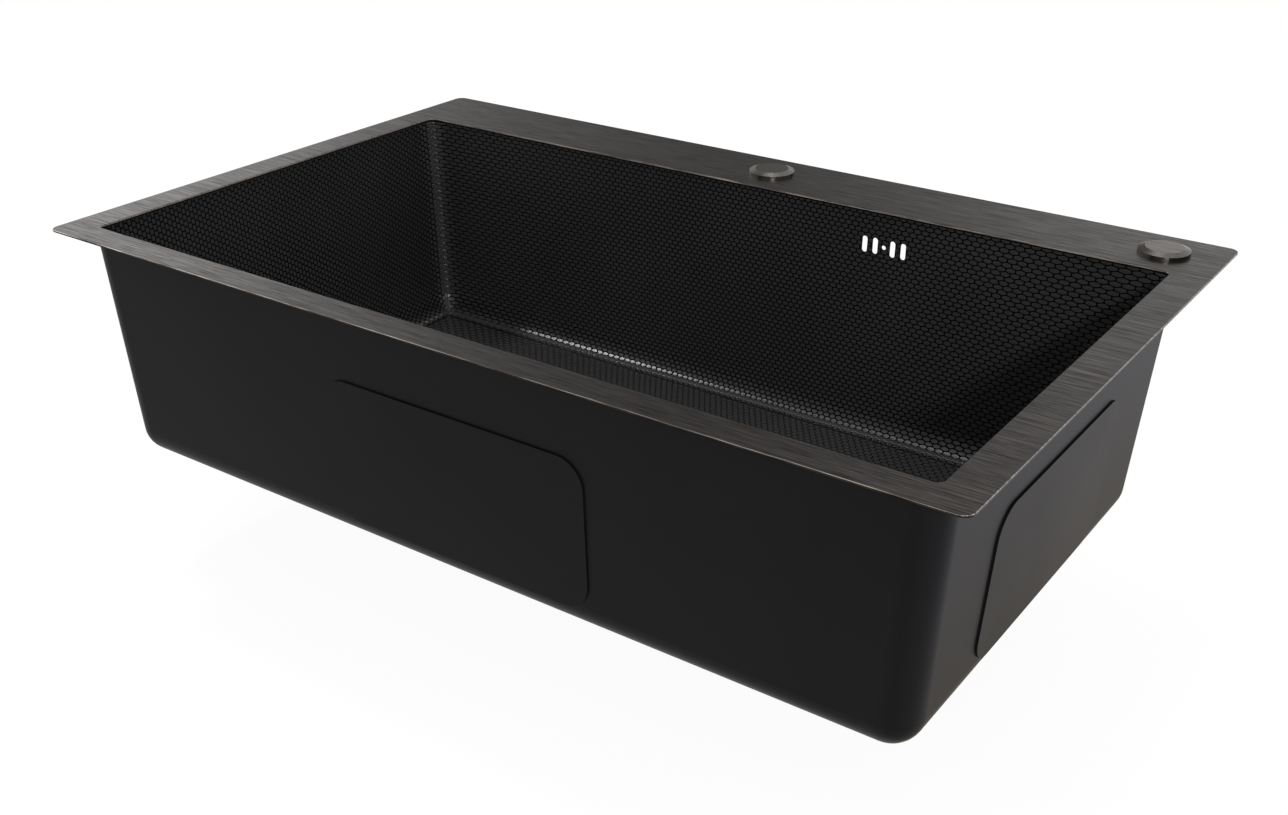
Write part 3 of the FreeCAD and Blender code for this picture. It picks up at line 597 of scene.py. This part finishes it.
@dataclass(frozen=True)
class Wall:
    """One wall of the bowl with half of each corner beside it, down to the flat of the floor.

    The wall's own axes are: along, to the right for someone who looks out through the wall, and
    outwards. A point of it is found from the path s along the mouth and the path t down.

    Args:
        shape: the bowl.
        along: unit vector along the wall.
        outward: unit vector out through the wall.
        half_length: half of the bowl's size along the wall, at the mouth.
        half_across: the wall's distance from the middle, at the mouth.
        slope: the wall's own inward slope per millimetre of depth.
        end_slope: the slope of the walls at its two ends.
    """

    shape: BowlShape
    along: Span
    outward: Span
    half_length: float
    half_across: float
    slope: float
    end_slope: float

    @property
    def straight(self) -> float:
        """Half of the straight stretch at the mouth."""
        return self.half_length - self.shape.corner

    @property
    def reach(self) -> float:
        """Path from the wall's middle to the middle of the corner, at the mouth."""
        return self.straight + self.shape.corner * math.pi / 4

    @property
    def lean(self) -> float:
        """The wall's angle from upright."""
        return math.atan(self.slope)

    @property
    def straight_path(self) -> float:
        """Path down the wall to where the floor's rounding starts."""
        depth = self.shape.floor - self.shape.floor_round * (1 - math.sin(self.lean))
        return depth / math.cos(self.lean)

    @property
    def path(self) -> float:
        """Whole path down the wall and round to the flat of the floor."""
        return self.straight_path + self.shape.floor_round * (math.pi / 2 - self.lean)

    def profile(self, t: np.ndarray) -> tuple[np.ndarray, np.ndarray]:
        """Follows the wall down and round its fillet.

        Down the wall the depth is t times the cosine of the lean and the inset from the wall's
        plane is nothing. On the fillet both follow its circle, from the lean to a right angle.

        Args:
            t: path from the mouth, in millimetres.

        Returns:
            Depth below the mouth, and inset from the wall's plane at that depth.
        """
        radius = self.shape.floor_round
        angle = self.lean + np.clip((t - self.straight_path) / radius, 0, math.pi / 2 - self.lean)
        centre_depth = self.shape.floor - radius
        on_circle = centre_depth + radius * np.sin(angle)
        depth = np.where(t < self.straight_path, t * math.cos(self.lean), on_circle)
        to_centre = radius / math.cos(self.lean)
        swing = to_centre - self.slope * (depth - centre_depth) - radius * np.cos(angle)
        inset = np.where(t < self.straight_path, 0.0, swing)
        return depth, inset

    def corner_share(self, s: np.ndarray) -> np.ndarray:
        """How far along its half of the corner each path place is, from 0 to 1."""
        return np.clip((np.abs(s) - self.straight) / (self.reach - self.straight), 0, 1)

    def fillet_share(self, t: np.ndarray) -> np.ndarray:
        """How far along the floor's rounding each path place is, from 0 to 1."""
        return np.clip((t - self.straight_path) / (self.path - self.straight_path), 0, 1)

    def points(self, s: np.ndarray, t: np.ndarray) -> np.ndarray:
        """Places path coordinates in space.

        On the straight stretch the point stands at the wall's plane less the inset, and s shrinks
        with the taper. Past it the point swings round the corner's axis on the corner's radius less
        the inset.

        Args:
            s: path along the mouth from the wall's middle, in millimetres.
            t: path down from the mouth, in millimetres.

        Returns:
            Points in metres, as rows of x, y and z.
        """
        depth, inset = self.profile(t)
        half = self.half_length - self.end_slope * depth - self.shape.corner
        across = self.half_across - self.slope * depth - self.shape.corner
        turn = np.clip((np.abs(s) - self.straight) / self.shape.corner, 0, math.pi / 2)
        side = np.sign(s)
        shrunk = np.clip(s / self.straight, -1, 1) * half
        radius = self.shape.corner - inset
        run = shrunk + side * radius * np.sin(turn)
        out = across + radius * np.cos(turn)
        x = run * self.along[0] + out * self.outward[0]
        y = run * self.along[1] + out * self.outward[1] + self.shape.middle_y
        return np.stack([x, y, -depth], axis=-1) * MM

    def normals(self, s: np.ndarray, t: np.ndarray) -> np.ndarray:
        """Finds the normals into the bowl, from the cross product of two short steps.

        Args:
            s: path along the mouth from the wall's middle, in millimetres.
            t: path down from the mouth, in millimetres.

        Returns:
            Unit vectors, as rows of x, y and z.
        """
        along = self.points(s + NORMAL_STEP, t) - self.points(s - NORMAL_STEP, t)
        down = self.points(s, t + NORMAL_STEP) - self.points(s, t - NORMAL_STEP)
        normal = np.cross(down, along)
        return normal / np.maximum(np.linalg.norm(normal, axis=-1, keepdims=True), LEAST_NORMAL)


@dataclass(frozen=True)
class Lattice:
    """A honeycomb in a plane.

    Args:
        pitch: distance between neighbours in one row, where the row is not stretched.
        step: distance from row to row.
        spread: distance from the middle at which the pitch has doubled, or nothing.
        upright: whether the rows run down the wall instead of along it.
    """

    pitch: float
    step: float
    spread: float | None = None
    upright: bool = False

    def stretch(self, u: np.ndarray) -> np.ndarray:
        """Maps an even row to a stretched one: spread times the tangent of u over spread."""
        return u if self.spread is None else self.spread * np.tan(u / self.spread)

    def cells(self, half_run: float, low: float, high: float) -> tuple[np.ndarray, np.ndarray]:
        """Lays the cells' outlines.

        The centres stand at whole pitches along each row, and every second row is moved by half a
        pitch. An outline is the affine hexagon of the lattice: half a pitch by a third of a step,
        and two thirds of a step at its tips.

        Args:
            half_run: half of the rows' length.
            low: where the first row starts.
            high: where the last row ends.

        Returns:
            Centres, and the corners of each cell, both as run and rise, before any clipping.
        """
        spare = 1
        half = half_run if self.spread is None else self.spread * math.atan(half_run / self.spread)
        columns = math.floor(half / self.pitch) + 1 + spare
        rows = np.arange(math.floor(low / self.step) - spare, math.ceil(high / self.step) + spare + 1)
        column, row = np.meshgrid(np.arange(-columns, columns + 1), rows)
        u = (column + 0.5 * (row % 2)).ravel() * self.pitch
        rise = row.ravel() * self.step
        tips = np.array([(0, 2 / 3), (-0.5, 1 / 3), (-0.5, -1 / 3), (0, -2 / 3), (0.5, -1 / 3), (0.5, 1 / 3)])
        corner_u = u[:, None] + tips[None, :, 0] * self.pitch
        corner_rise = rise[:, None] + tips[None, :, 1] * self.step
        centres = np.stack([self.stretch(u), rise], axis=-1)
        corners = np.stack([self.stretch(corner_u), corner_rise], axis=-1)
        return centres, corners


@dataclass(frozen=True)
class Emboss:
    """Section of one embossed cell.

    Args:
        height: height of the crown's edge over the bowl's own skin, in millimetres.
        crown: further rise of its middle.
        foot: height of the cell's outline over the bowl's own skin.
        half_groove: distance from the crown's edge to the cell's outline, in millimetres.
        rounding: share of a side that each rounded corner takes.
    """

    height: float = 0.33
    crown: float = 0.015
    foot: float = 0.02
    half_groove: float = 0.74
    rounding: float = 0.22

    def rings(self, centres: np.ndarray, corners: np.ndarray) -> np.ndarray:
        """Gives each cell's 19 places: 6 corners, 12 points of its crown and its middle.

        The crown is the outline drawn in towards the middle by half a groove, and each of its
        corners becomes two points that lie a share of the side before and after it.

        Args:
            centres: the cells' middles.
            corners: the corners of each cell.

        Returns:
            The places of each cell, in the plane of the honeycomb.
        """
        arms = corners - centres[:, None]
        reach = np.abs(arms).max(axis=1, keepdims=True)
        inner = centres[:, None] + arms * (1 - self.half_groove / reach)
        before = inner * (1 - self.rounding) + np.roll(inner, 1, axis=1) * self.rounding
        after = inner * (1 - self.rounding) + np.roll(inner, -1, axis=1) * self.rounding
        crown = np.stack([before, after], axis=2).reshape(len(centres), CROWN_POINTS, 2)
        return np.concatenate([corners, crown, centres[:, None]], axis=1)

    def heights(self) -> np.ndarray:
        """Height of each of the 19 places over the sheet, in millimetres."""
        return np.array([self.foot] * SIDES + [self.height] * CROWN_POINTS + [self.height + self.crown])

    def depths(self) -> np.ndarray:
        """How far each of the 19 places is in the groove, from 0 to 1."""
        return np.array([1.0] * SIDES + [0.0] * (CROWN_POINTS + 1))

    def clip(self, places: np.ndarray, low: float, high: float) -> np.ndarray:
        """Clips one coordinate of all cells: outlines to a range, crowns to half a groove less."""
        room = self.half_groove * (1 - self.depths())[None]
        return np.clip(places, low + room, high - room)

    def triangles(self) -> np.ndarray:
        """Joins a cell's places: its flank, one corner and one side at a time, and its crown.

        Returns:
            The 30 triangles of a cell, by the numbers of its places.
        """
        faces = []
        middle = SIDES + CROWN_POINTS
        for corner in range(SIDES):
            following = (corner + 1) % SIDES
            first, third = SIDES + 2 * corner, SIDES + 2 * following
            second = first + 1
            faces += [(corner, second, first), (corner, third, second), (corner, following, third)]
        for point in range(CROWN_POINTS):
            faces.append((middle, SIDES + point, SIDES + (point + 1) % CROWN_POINTS))
        return np.array(faces)


def honeycomb_mesh(places: np.ndarray, keep: np.ndarray, emboss: Emboss, black: np.ndarray,
                   shade: np.ndarray) -> Arrays:
    """Joins the kept cells into one set of arrays, less the triangles that a clip has made flat.

    Args:
        places: the 19 points of each cell, in metres.
        keep: which cells stay.
        emboss: the cell's section.
        black: share of the groove's black that is left at each point, which is less where the grooves are
            lightened as a painted highlight.
        shade: groove value of the crown at each point, which holds the painted shade of the floor's rounding.

    Returns:
        Points, triangles and each point's groove value.
    """
    points = places[keep].reshape(-1, 3)
    count = int(keep.sum())
    offsets = np.arange(count)[:, None, None] * places.shape[1]
    triangles = (emboss.triangles()[None] + offsets).reshape(-1, 3)
    depths = emboss.depths()[None]
    # the crowns' groove values hold painted shade, and the grooves' black is lessened for the painted
    # highlight
    groove = (depths * black[keep] + (1 - depths) * shade[keep]).ravel()
    corners = points[triangles]
    sides = np.cross(corners[:, 1] - corners[:, 0], corners[:, 2] - corners[:, 0])
    solid = np.linalg.norm(sides, axis=1) > LEAST_CROSS
    return points, triangles[solid], groove


@dataclass
class Bowl:
    """The pressed bowl: its CAD skin, and the honeycomb on its walls and floor.

    Args:
        shape: the bowl's inner surface.
        emboss: the section of a cell on the walls.
        along_lattice: honeycomb of the front and back walls.
        upright_lattice: honeycomb of the side walls.
        floor_lattice: honeycomb of the floor.
        mouth_gap: plain band under the mouth, in millimetres like all sizes here.
        slot_half_width: half width of an overflow slot.
        slot_half_height: half height of an overflow slot.
        slot_x: middle of the overflow's group of slots.
        slot_z: its height.
        slot_steps: place of each slot from that middle.
        screw_hole: radius of the hole in that middle.
        slot_margin: plain band round the slots and the hole.
        slot_drop: distance from a slot's middle line at which a cell is dropped.
        recess_margin: plain band round the drain recess.
        sliver: width under which a cut cell is dropped.
        corner_glint: share of a corner where the grooves begin to be lightened for the painted highlight,
            and the share that it takes.
        fillet_rise: the same on the floor's rounding, where that lightening begins.
        fillet_fall: the same where it ends.
        glint_fade: most that the grooves are lightened.
        bend_shade: most that the crowns darken on the rounding, as painted shade.
        shade_span: share of the rounding over which they do.
        floor_height: height of the cells on the floor.
        floor_groove: half groove on the floor.
    """

    shape: BowlShape
    emboss: Emboss
    along_lattice: Lattice = Lattice(pitch=6.0, step=3.92, spread=385.0)
    upright_lattice: Lattice = Lattice(pitch=5.67, step=3.92, upright=True)
    floor_lattice: Lattice = Lattice(pitch=6.0, step=4.67, spread=385.0)
    mouth_gap: float = 2.8
    slot_half_width: float = 2.5
    slot_half_height: float = 7.15
    slot_x: float = 131.8
    slot_z: float = -31.7
    slot_steps: tuple[float, ...] = (-17.9, -8.1, 8.1, 17.9)
    screw_hole: float = 2.0
    slot_margin: float = 0.35
    slot_drop: float = 0.9
    recess_margin: float = 1.6
    sliver: float = 1.0
    corner_glint: Span = (0.58, 0.3)
    fillet_rise: Span = (0.66, 0.1)
    fillet_fall: Span = (0.93, 0.08)
    glint_fade: float = 0.97
    bend_shade: float = 0.12
    shade_span: float = 0.75
    floor_height: float = 0.1
    floor_groove: float = 0.52

    def walls(self) -> dict[str, tuple[Wall, Lattice]]:
        """Sets up the four walls.

        Returns:
            Each wall's name, with the wall and its honeycomb.
        """
        shape, along, upright = self.shape, self.along_lattice, self.upright_lattice
        across_x = (shape.half_width, shape.half_depth, shape.front_slope, shape.side_slope)
        across_y = (shape.half_depth, shape.half_width, shape.side_slope, shape.front_slope)
        return {
            "back": (Wall(shape, (1, 0), (0, 1), *across_x), along),
            "front": (Wall(shape, (-1, 0), (0, -1), *across_x), along),
            "left": (Wall(shape, (0, 1), (-1, 0), *across_y), upright),
            "right": (Wall(shape, (0, -1), (1, 0), *across_y), upright),
        }

    def wall_cells(self, name: str, wall: Wall, lattice: Lattice) -> Arrays:
        """Embosses one wall, clipped to its mouth, its corners and the flat of the floor.

        Args:
            name: the wall's name.
            wall: its shape.
            lattice: its honeycomb.

        Returns:
            Points, triangles and groove values.
        """
        if lattice.upright:
            centres, corners = lattice.cells(wall.path, -wall.reach, wall.reach)
            centres, corners = centres[..., ::-1], corners[..., ::-1]
        else:
            centres, corners = lattice.cells(wall.reach, 0, wall.path)
            corners = corners[:, ::-1]
        flat = self.emboss.rings(centres, corners)
        inside_run = np.abs(corners[..., 0]).min(axis=1) < wall.reach - self.sliver
        inside_rise = (corners[..., 1].max(axis=1) > self.mouth_gap + self.sliver) & (
            corners[..., 1].min(axis=1) < wall.path - self.sliver)
        keep = inside_run & inside_rise
        s = self.emboss.clip(flat[..., 0], -wall.reach, wall.reach)
        t = self.emboss.clip(flat[..., 1], self.mouth_gap, wall.path)
        lift = self.emboss.heights()[None, :, None] * MM
        places = wall.points(s, t) + wall.normals(s, t) * lift
        if name == "back":
            places, keep = self.clear_overflow(places, keep)
        black, shade = self.bends(wall, s, t)
        return honeycomb_mesh(places, keep, self.emboss, black, shade)

    def bends(self, wall: Wall, s: np.ndarray, t: np.ndarray) -> tuple[np.ndarray, np.ndarray]:
        """Lightens the grooves where the lamps glint, and darkens the crowns on the floor's rounding.

        The grooves fade to the crown's colour in a straight ramp towards the middle of a corner, and in a
        band of the floor's rounding that has a ramp on either side: a painted highlight, so that the glints
        there run unbroken. The crowns darken by half a sine wave: painted shade.

        Args:
            wall: the wall.
            s: path along the mouth, in millimetres.
            t: path down from the mouth, in millimetres.

        Returns:
            Share of the groove's black that is left after the painted highlight, and groove value of the
            crown, which is its painted shade.
        """
        fillet = wall.fillet_share(t)
        corner_start, corner_ramp = self.corner_glint
        start, rise = self.fillet_rise
        end, fall = self.fillet_fall
        band = np.minimum((fillet - start) / rise, (end - fillet) / fall)
        # painted highlight: the grooves lighten towards a corner's middle and in the rounding's band
        glint = np.maximum((wall.corner_share(s) - corner_start) / corner_ramp, band)
        # painted shade: the crowns darken over the upper rounding
        shade = self.bend_shade * np.sin(np.pi * np.clip(fillet / self.shade_span, 0, 1))
        return 1 - np.clip(glint, 0, self.glint_fade), shade

    def clear_overflow(self, places: np.ndarray, keep: np.ndarray) -> tuple[np.ndarray, np.ndarray]:
        """Cuts the cells round the overflow's slots and screw hole.

        Each cell is cut straight across, square to the line from the slot's middle line to the
        cell's own middle, where that line leaves the slot. A cell that sits over a slot is dropped.

        Args:
            places: the 19 points of each cell, in metres; they are moved in place.
            keep: which cells stay.

        Returns:
            The points and which cells stay.
        """
        slot = (self.slot_half_width, self.slot_half_height)
        holes = [(self.slot_x + step, *slot) for step in self.slot_steps]
        holes.append((self.slot_x, self.screw_hole, self.screw_hole))
        for x, half_width, half_height in holes:
            line = (half_height - half_width) * MM
            run = places[..., 0] - x * MM
            rise = places[..., 2] - self.slot_z * MM
            foot = np.clip(rise[:, -1:], -line, line)
            distance = np.maximum(np.hypot(run[:, -1:], rise[:, -1:] - foot), SHORTEST)
            away_x = run[:, -1:] / distance
            away_z = (rise[:, -1:] - foot) / distance
            short = (half_width + self.slot_margin) * MM - run * away_x - (rise - foot) * away_z
            push = np.maximum(short, 0.0)
            places[..., 0] += push * away_x
            places[..., 2] += push * away_z
            keep = keep & (distance[:, 0] > self.slot_drop * MM)
        return places, keep

    def floor_cells(self, side: int) -> Arrays:
        """Embosses one half of the floor between its roundings, clear of the drain recess.

        Args:
            side: -1 for the left half and 1 for the right one.

        Returns:
            Points, triangles and groove values.
        """
        shape = self.shape
        half_x = shape.flat_half(shape.half_width, shape.side_slope)
        half_y = shape.flat_half(shape.half_depth, shape.front_slope)
        centres, corners = self.floor_lattice.cells(half_x, -half_y, half_y)
        emboss = replace(self.emboss, height=self.floor_height, half_groove=self.floor_groove)
        flat = emboss.rings(centres, corners)
        nearest = np.abs(corners).min(axis=1)
        keep = (nearest[:, 0] < half_x - self.sliver) & (nearest[:, 1] < half_y - self.sliver)
        keep &= (centres[:, 0] >= 0) if side > 0 else (centres[:, 0] < 0)
        x = emboss.clip(flat[..., 0], -half_x, half_x)
        y = emboss.clip(flat[..., 1], -half_y, half_y) + shape.middle_y
        limit = shape.recess + self.recess_margin
        distance = np.hypot(x, y)
        scale = np.where(distance < limit, limit / np.maximum(distance, SHORTEST), 1.0)
        keep &= distance[:, -1] > limit
        z = emboss.heights()[None] - shape.floor
        places = np.stack([x * scale, y * scale, np.broadcast_to(z, x.shape)], axis=-1) * MM
        return honeycomb_mesh(places, keep, emboss, np.ones(x.shape), np.zeros(x.shape))

    def build(self) -> None:
        """Dresses the CAD skin and builds the honeycomb pieces."""
        centre = (0.0, self.shape.middle_y * MM, -self.shape.floor * MM / 2)
        sheet = PressedSheet("Pressed sheet", outside=(0.0068, 0.0066, 0.0067), inside=(0.004, 0.004, 0.0045),
                             centre=centre)
        dress("bowl", sheet.build())
        cells = EmbossedCells("Embossed cells", crown=(0.056, 0.0555, 0.058), groove=(0.003, 0.003, 0.0035))
        coat = cells.build()
        meshes = {f"{name}_wall": self.wall_cells(name, *parts) for name, parts in self.walls().items()}
        meshes["floor_left"] = self.floor_cells(-1)
        meshes["floor_right"] = self.floor_cells(1)
        for name, (points, triangles, groove) in meshes.items():
            piece = mesh_piece(f"honeycomb_{name}", points, triangles, coat, SINK_BODY)
            # the groove attribute also carries the painted highlight and painted shade from bends
            attribute = piece.data.attributes.new("groove", "FLOAT", "POINT")
            attribute.data.foreach_set("value", groove.astype(np.float32))


@dataclass
class Rim:
    """The brushed rim plate."""

    def build(self) -> None:
        """Dresses the plate."""
        # side=0.35 paints shade on the plate's outer sides, the bevel gain of 6 paints a highlight on its
        # bevels, and cut=6.0 lights the opening's cut edge, part bare steel and part painted highlight
        finish = BrushedSteel("Brushed coated steel", colour=(0.0495, 0.044, 0.0405), along=30.0,
                              across=1300.0, contrast=0.97, side=0.35, bevel_highlight=6.0, cut=6.0, cut_metal=0.3)
        dress("rim_plate", finish.build())


@dataclass
class Pads:
    """Damping pads on the outer walls and under the floor."""

    names: tuple[str, ...] = (
        "front_pad", "back_pad", "left_pad", "right_pad", "bottom_pad_left", "bottom_pad_right",
    )

    def build(self) -> None:
        """Dresses the pads."""
        rubber = SatinSkin("Damping sheet", colour=(0.0068, 0.0066, 0.0067), metallic=0.0, roughness=0.38,
                           specular=0.063, relief=0.05).build()
        for name in self.names:
            dress(name, rubber)


@dataclass
class Covers:
    """Tap-hole covers and what clamps them.

    Args:
        rubber: the seals' finish, shared with the waste.
        plated: the fasteners' finish, shared with the waste.
        names: how the names of each cover's pieces begin.
    """

    rubber: bpy.types.Material
    plated: bpy.types.Material
    names: tuple[str, ...] = ("centre_cover", "side_cover")

    def build(self) -> None:
        """Dresses every piece of both covers."""
        # side=0.4 darkens the cap's upright side: painted shade
        cap = BrushedSteel("Cap steel", colour=(0.135, 0.123, 0.112), contrast=0.2, roughness=0.26,
                           side=0.4).build()
        for name in self.names:
            dress(f"{name}_cap", cap)
            dress(f"{name}_gasket", self.rubber)
            for part in ("stud", "clamp_bar", "wing_nut"):
                dress(f"{name}_{part}", self.plated)


@dataclass
class Waste:
    """Basket waste: strainer, basket, stopper, moulded body, and their seals and fasteners.

    Args:
        rubber: the seals' finish, shared with the covers.
        plated: the fasteners' finish, shared with the covers.
    """

    rubber: bpy.types.Material
    plated: bpy.types.Material

    def build(self) -> None:
        """Dresses every piece of the waste."""
        steel = BrushedSteel("Waste steel", colour=(0.05, 0.048, 0.046), contrast=0.15, roughness=0.3).build()
        plastic = SatinSkin("Waste plastic", colour=(0.02, 0.02, 0.021), metallic=0.0, roughness=0.45,
                            relief=0.12).build()
        finishes = (
            (steel, ("strainer_flange", "strainer_plate", "basket", "stopper_knob")),
            (plastic, ("waste_body", "waste_tail", "overflow_spigot")),
            (self.rubber, ("flange_seal", "under_seal", "stopper_seal")),
            (self.plated, ("waste_screw", "stopper_post", "stopper_nut")),
        )
        for finish, nodes in finishes:
            for node in nodes:
                dress(node, finish)


@dataclass
class Studio:
    """Floor, lights and camera.

    Args:
        camera_place: the camera's place, in metres like all sizes here.
        azimuth: degrees by which the camera stands to the right of the front.
        elevation: degrees by which it looks down.
        roll: degrees by which it is rolled.
        lens: focal length, in millimetres.
        sensor: width of the sensor, in millimetres.
        clipping: nearest and farthest distance that the camera sees.
        floor_gap: gap between the sink and the floor.
        floor_half: half of the floor's side.
        floor_grey: the floor's own colour.
        floor_glow: strength of its glow, which only a camera or a reflection sees.
        floor_share: share of the glow against the colour, which leaves the sink's shadow.
        left_dimming: most by which the glow is dimmed for reflections on the left.
        dimming_span: the places along X between which that dimming ends.
        tint_start: the place along X from which reflections of the floor are tinted.
        tint_span: the places along X between which the near tint turns into the far one.
        near_tint: tint beside the sink.
        far_tint: tint further to the right.
        world_strength: even light of the world.
        panel_gain: gain on the panels.
        panels: sideways part of a direction from -1 to 1, and what reflections see there.
        lamps: name, place, diameter and power of each lamp.
        aim: the point that the lamps look at.
    """

    camera_place: tuple[float, float, float] = (0.66053, -0.92035, 0.41204)
    azimuth: float = 35.225
    elevation: float = 26.257
    roll: float = -0.076
    lens: float = 42.376
    sensor: float = 36.0
    clipping: Span = (0.01, 100.0)
    floor_gap: float = 0.002
    floor_half: float = 12.0
    floor_grey: float = 0.9
    floor_glow: float = 1.06
    floor_share: float = 0.88
    left_dimming: float = 0.32
    dimming_span: Span = (-0.9, 0.1)
    tint_start: float = 0.36
    tint_span: Span = (0.37, 0.6)
    near_tint: Colour = (0.68, 0.6, 0.47)
    far_tint: Colour = (1.2, 1.21, 1.4)
    world_strength: float = 0.5
    panel_gain: float = 1.6
    panels: tuple[Span, ...] = (
        (-1.0, 1.0), (1.0, 0.5), (-0.78, 1.0), (-0.64, 0.24), (-0.5, 0.12), (-0.38, 0.27), (-0.26, 0.52),
        (0.1, 0.5),
    )
    lamps: tuple[tuple[str, tuple[float, float, float], float, float], ...] = (
        ("overhead", (-0.4, 0.5, 2.4), 1.3, 20.0),
        ("right_key", (1.7, -2.05, 1.2), 0.25, 26.0),
        ("left_key", (-1.95, 0.2, 2.6), 0.3, 17.0),
    )
    aim: tuple[float, float, float] = (0.0, 0.0, -0.1)

    def build(self) -> None:
        """Sets the stage."""
        self.build_camera()
        self.build_floor()
        self.build_world()
        self.build_lights()
        bpy.context.scene.view_settings.view_transform = "Standard"

    def build_camera(self) -> None:
        """Makes the camera: it looks down along the azimuth and elevation, with a little roll."""
        data = bpy.data.cameras.new("camera")
        data.lens = self.lens
        data.sensor_width = self.sensor
        data.sensor_fit = "HORIZONTAL"
        data.clip_start, data.clip_end = self.clipping
        camera = bpy.data.objects.new("camera", data)
        turn, tilt = math.radians(self.azimuth), math.radians(self.elevation)
        level = math.cos(tilt)
        forward = Vector((-math.sin(turn) * level, math.cos(turn) * level, -math.sin(tilt)))
        roll = Matrix.Rotation(math.radians(self.roll), 3, "Z")
        rotation = forward.to_track_quat("-Z", "Y").to_matrix() @ roll
        camera.rotation_mode = "QUATERNION"
        camera.rotation_quaternion = rotation.to_quaternion()
        camera.location = self.camera_place
        bpy.context.scene.collection.objects.link(camera)
        bpy.context.scene.camera = camera

    def build_floor(self) -> None:
        """Makes a pale floor just under the sink, white to the eye but for the sink's shadow.

        For reflections its glow is dimmed on the left, and tinted on the right of the sink.
        """
        level = cad_box[0].z - self.floor_gap
        half = self.floor_half
        points = [(-half, -half, level), (half, -half, level), (half, half, level), (-half, half, level)]
        mesh = bpy.data.meshes.new("floor")
        mesh.from_pydata(points, [], [(0, 1, 2, 3)])
        material, wires = new_material("Pale floor")
        rays = wires.add("ShaderNodeLightPath")
        glossy = rays.outputs["Is Glossy Ray"]
        seen = wires.seen(rays, "Is Camera Ray", "Is Glossy Ray", "Is Transmission Ray")
        pale = wires.add("ShaderNodeBsdfDiffuse", {"Color": rgba((self.floor_grey,) * 3)})
        place = wires.add("ShaderNodeTexCoord").outputs["Object"]
        x = wires.add("ShaderNodeSeparateXYZ", {"Vector": place}).outputs["X"]
        dimmed = wires.math("MULTIPLY", glossy, wires.remap(x, *self.dimming_span, self.left_dimming, 0.0))
        strength = wires.math("MULTIPLY_ADD", dimmed, -self.floor_glow, self.floor_glow)
        beside = wires.blend(wires.remap(x, *self.tint_span), rgba(self.near_tint), rgba(self.far_tint))
        tinted = wires.math("MULTIPLY", wires.math("GREATER_THAN", x, self.tint_start), glossy)
        tint = wires.blend(tinted, WHITE, beside)
        glow = wires.add("ShaderNodeEmission", {"Color": tint, "Strength": strength})
        share = wires.math("MULTIPLY", seen, self.floor_share)
        mixed = wires.add("ShaderNodeMixShader", {0: share, 1: pale.outputs[0], 2: glow.outputs[0]})
        wires.finish(mixed)
        mesh.materials.append(material)
        floor = bpy.data.objects.new("floor", mesh)
        bpy.context.scene.collection.objects.link(floor)

    def build_world(self) -> None:
        """Lights the world evenly, with the soft bright and dark panels of a studio in reflections.

        The panels are stops on a ramp over the sideways part of the direction that a ray leaves in.
        """
        world = bpy.data.worlds.new("studio")
        world.use_nodes = True
        wires = Wiring(world.node_tree)
        rays = wires.add("ShaderNodeLightPath")
        seen = wires.seen(rays, "Is Camera Ray", "Is Transmission Ray")
        direction = wires.add("ShaderNodeTexCoord").outputs["Generated"]
        parts = wires.add("ShaderNodeSeparateXYZ", {"Vector": direction})
        sideways = wires.remap(parts.outputs["X"], -1.0, 1.0)
        ramp = wires.add("ShaderNodeValToRGB", {"Fac": sideways})
        stops = ramp.color_ramp.elements
        ramp.color_ramp.interpolation = "EASE"
        ends = len(stops)
        for number, (direction_x, brightness) in enumerate(self.panels):
            position = (direction_x + 1) / 2
            stop = stops[number] if number < ends else stops.new(position)
            stop.position = position
            stop.color = rgba((brightness,) * 3)
        glossy = wires.math("MULTIPLY", ramp.outputs["Color"], self.panel_gain)
        plain = wires.remap(rays.outputs["Is Glossy Ray"], 0.0, 1.0, self.world_strength, 0.0)
        shown = wires.math("MULTIPLY", rays.outputs["Is Glossy Ray"], glossy)
        strength = wires.math("MAXIMUM", seen, wires.math("ADD", plain, shown))
        sky = wires.add("ShaderNodeBackground", {"Color": WHITE, "Strength": strength})
        wires.finish(sky, "ShaderNodeOutputWorld")
        bpy.context.scene.world = world

    def build_lights(self) -> None:
        """Hangs a broad soft lamp over the sink, and a compact one to its right and to its left."""
        for name, place, size, energy in self.lamps:
            data = bpy.data.lights.new(name, "AREA")
            data.shape = "DISK"
            data.size = size
            data.energy = energy
            lamp = bpy.data.objects.new(name, data)
            lamp.location = place
            lamp.rotation_mode = "QUATERNION"
            lamp.rotation_quaternion = (Vector(self.aim) - Vector(place)).to_track_quat("-Z", "Y")
            bpy.context.scene.collection.objects.link(lamp)


def main() -> None:
    """Builds the sink's parts in order, then the stage."""
    logging.basicConfig(level=logging.INFO, format="%(message)s")
    Bowl(BowlShape(), Emboss()).build()
    Rim().build()
    Pads().build()
    rubber = SatinSkin("Seal rubber", colour=(0.012, 0.012, 0.012), metallic=0.0, roughness=0.6).build()
    plated = SatinSkin("Plated steel", colour=(0.45, 0.45, 0.46), roughness=0.3).build()
    Covers(rubber, plated).build()
    Waste(rubber, plated).build()
    Studio().build()


if __name__ == "__main__":
    main()
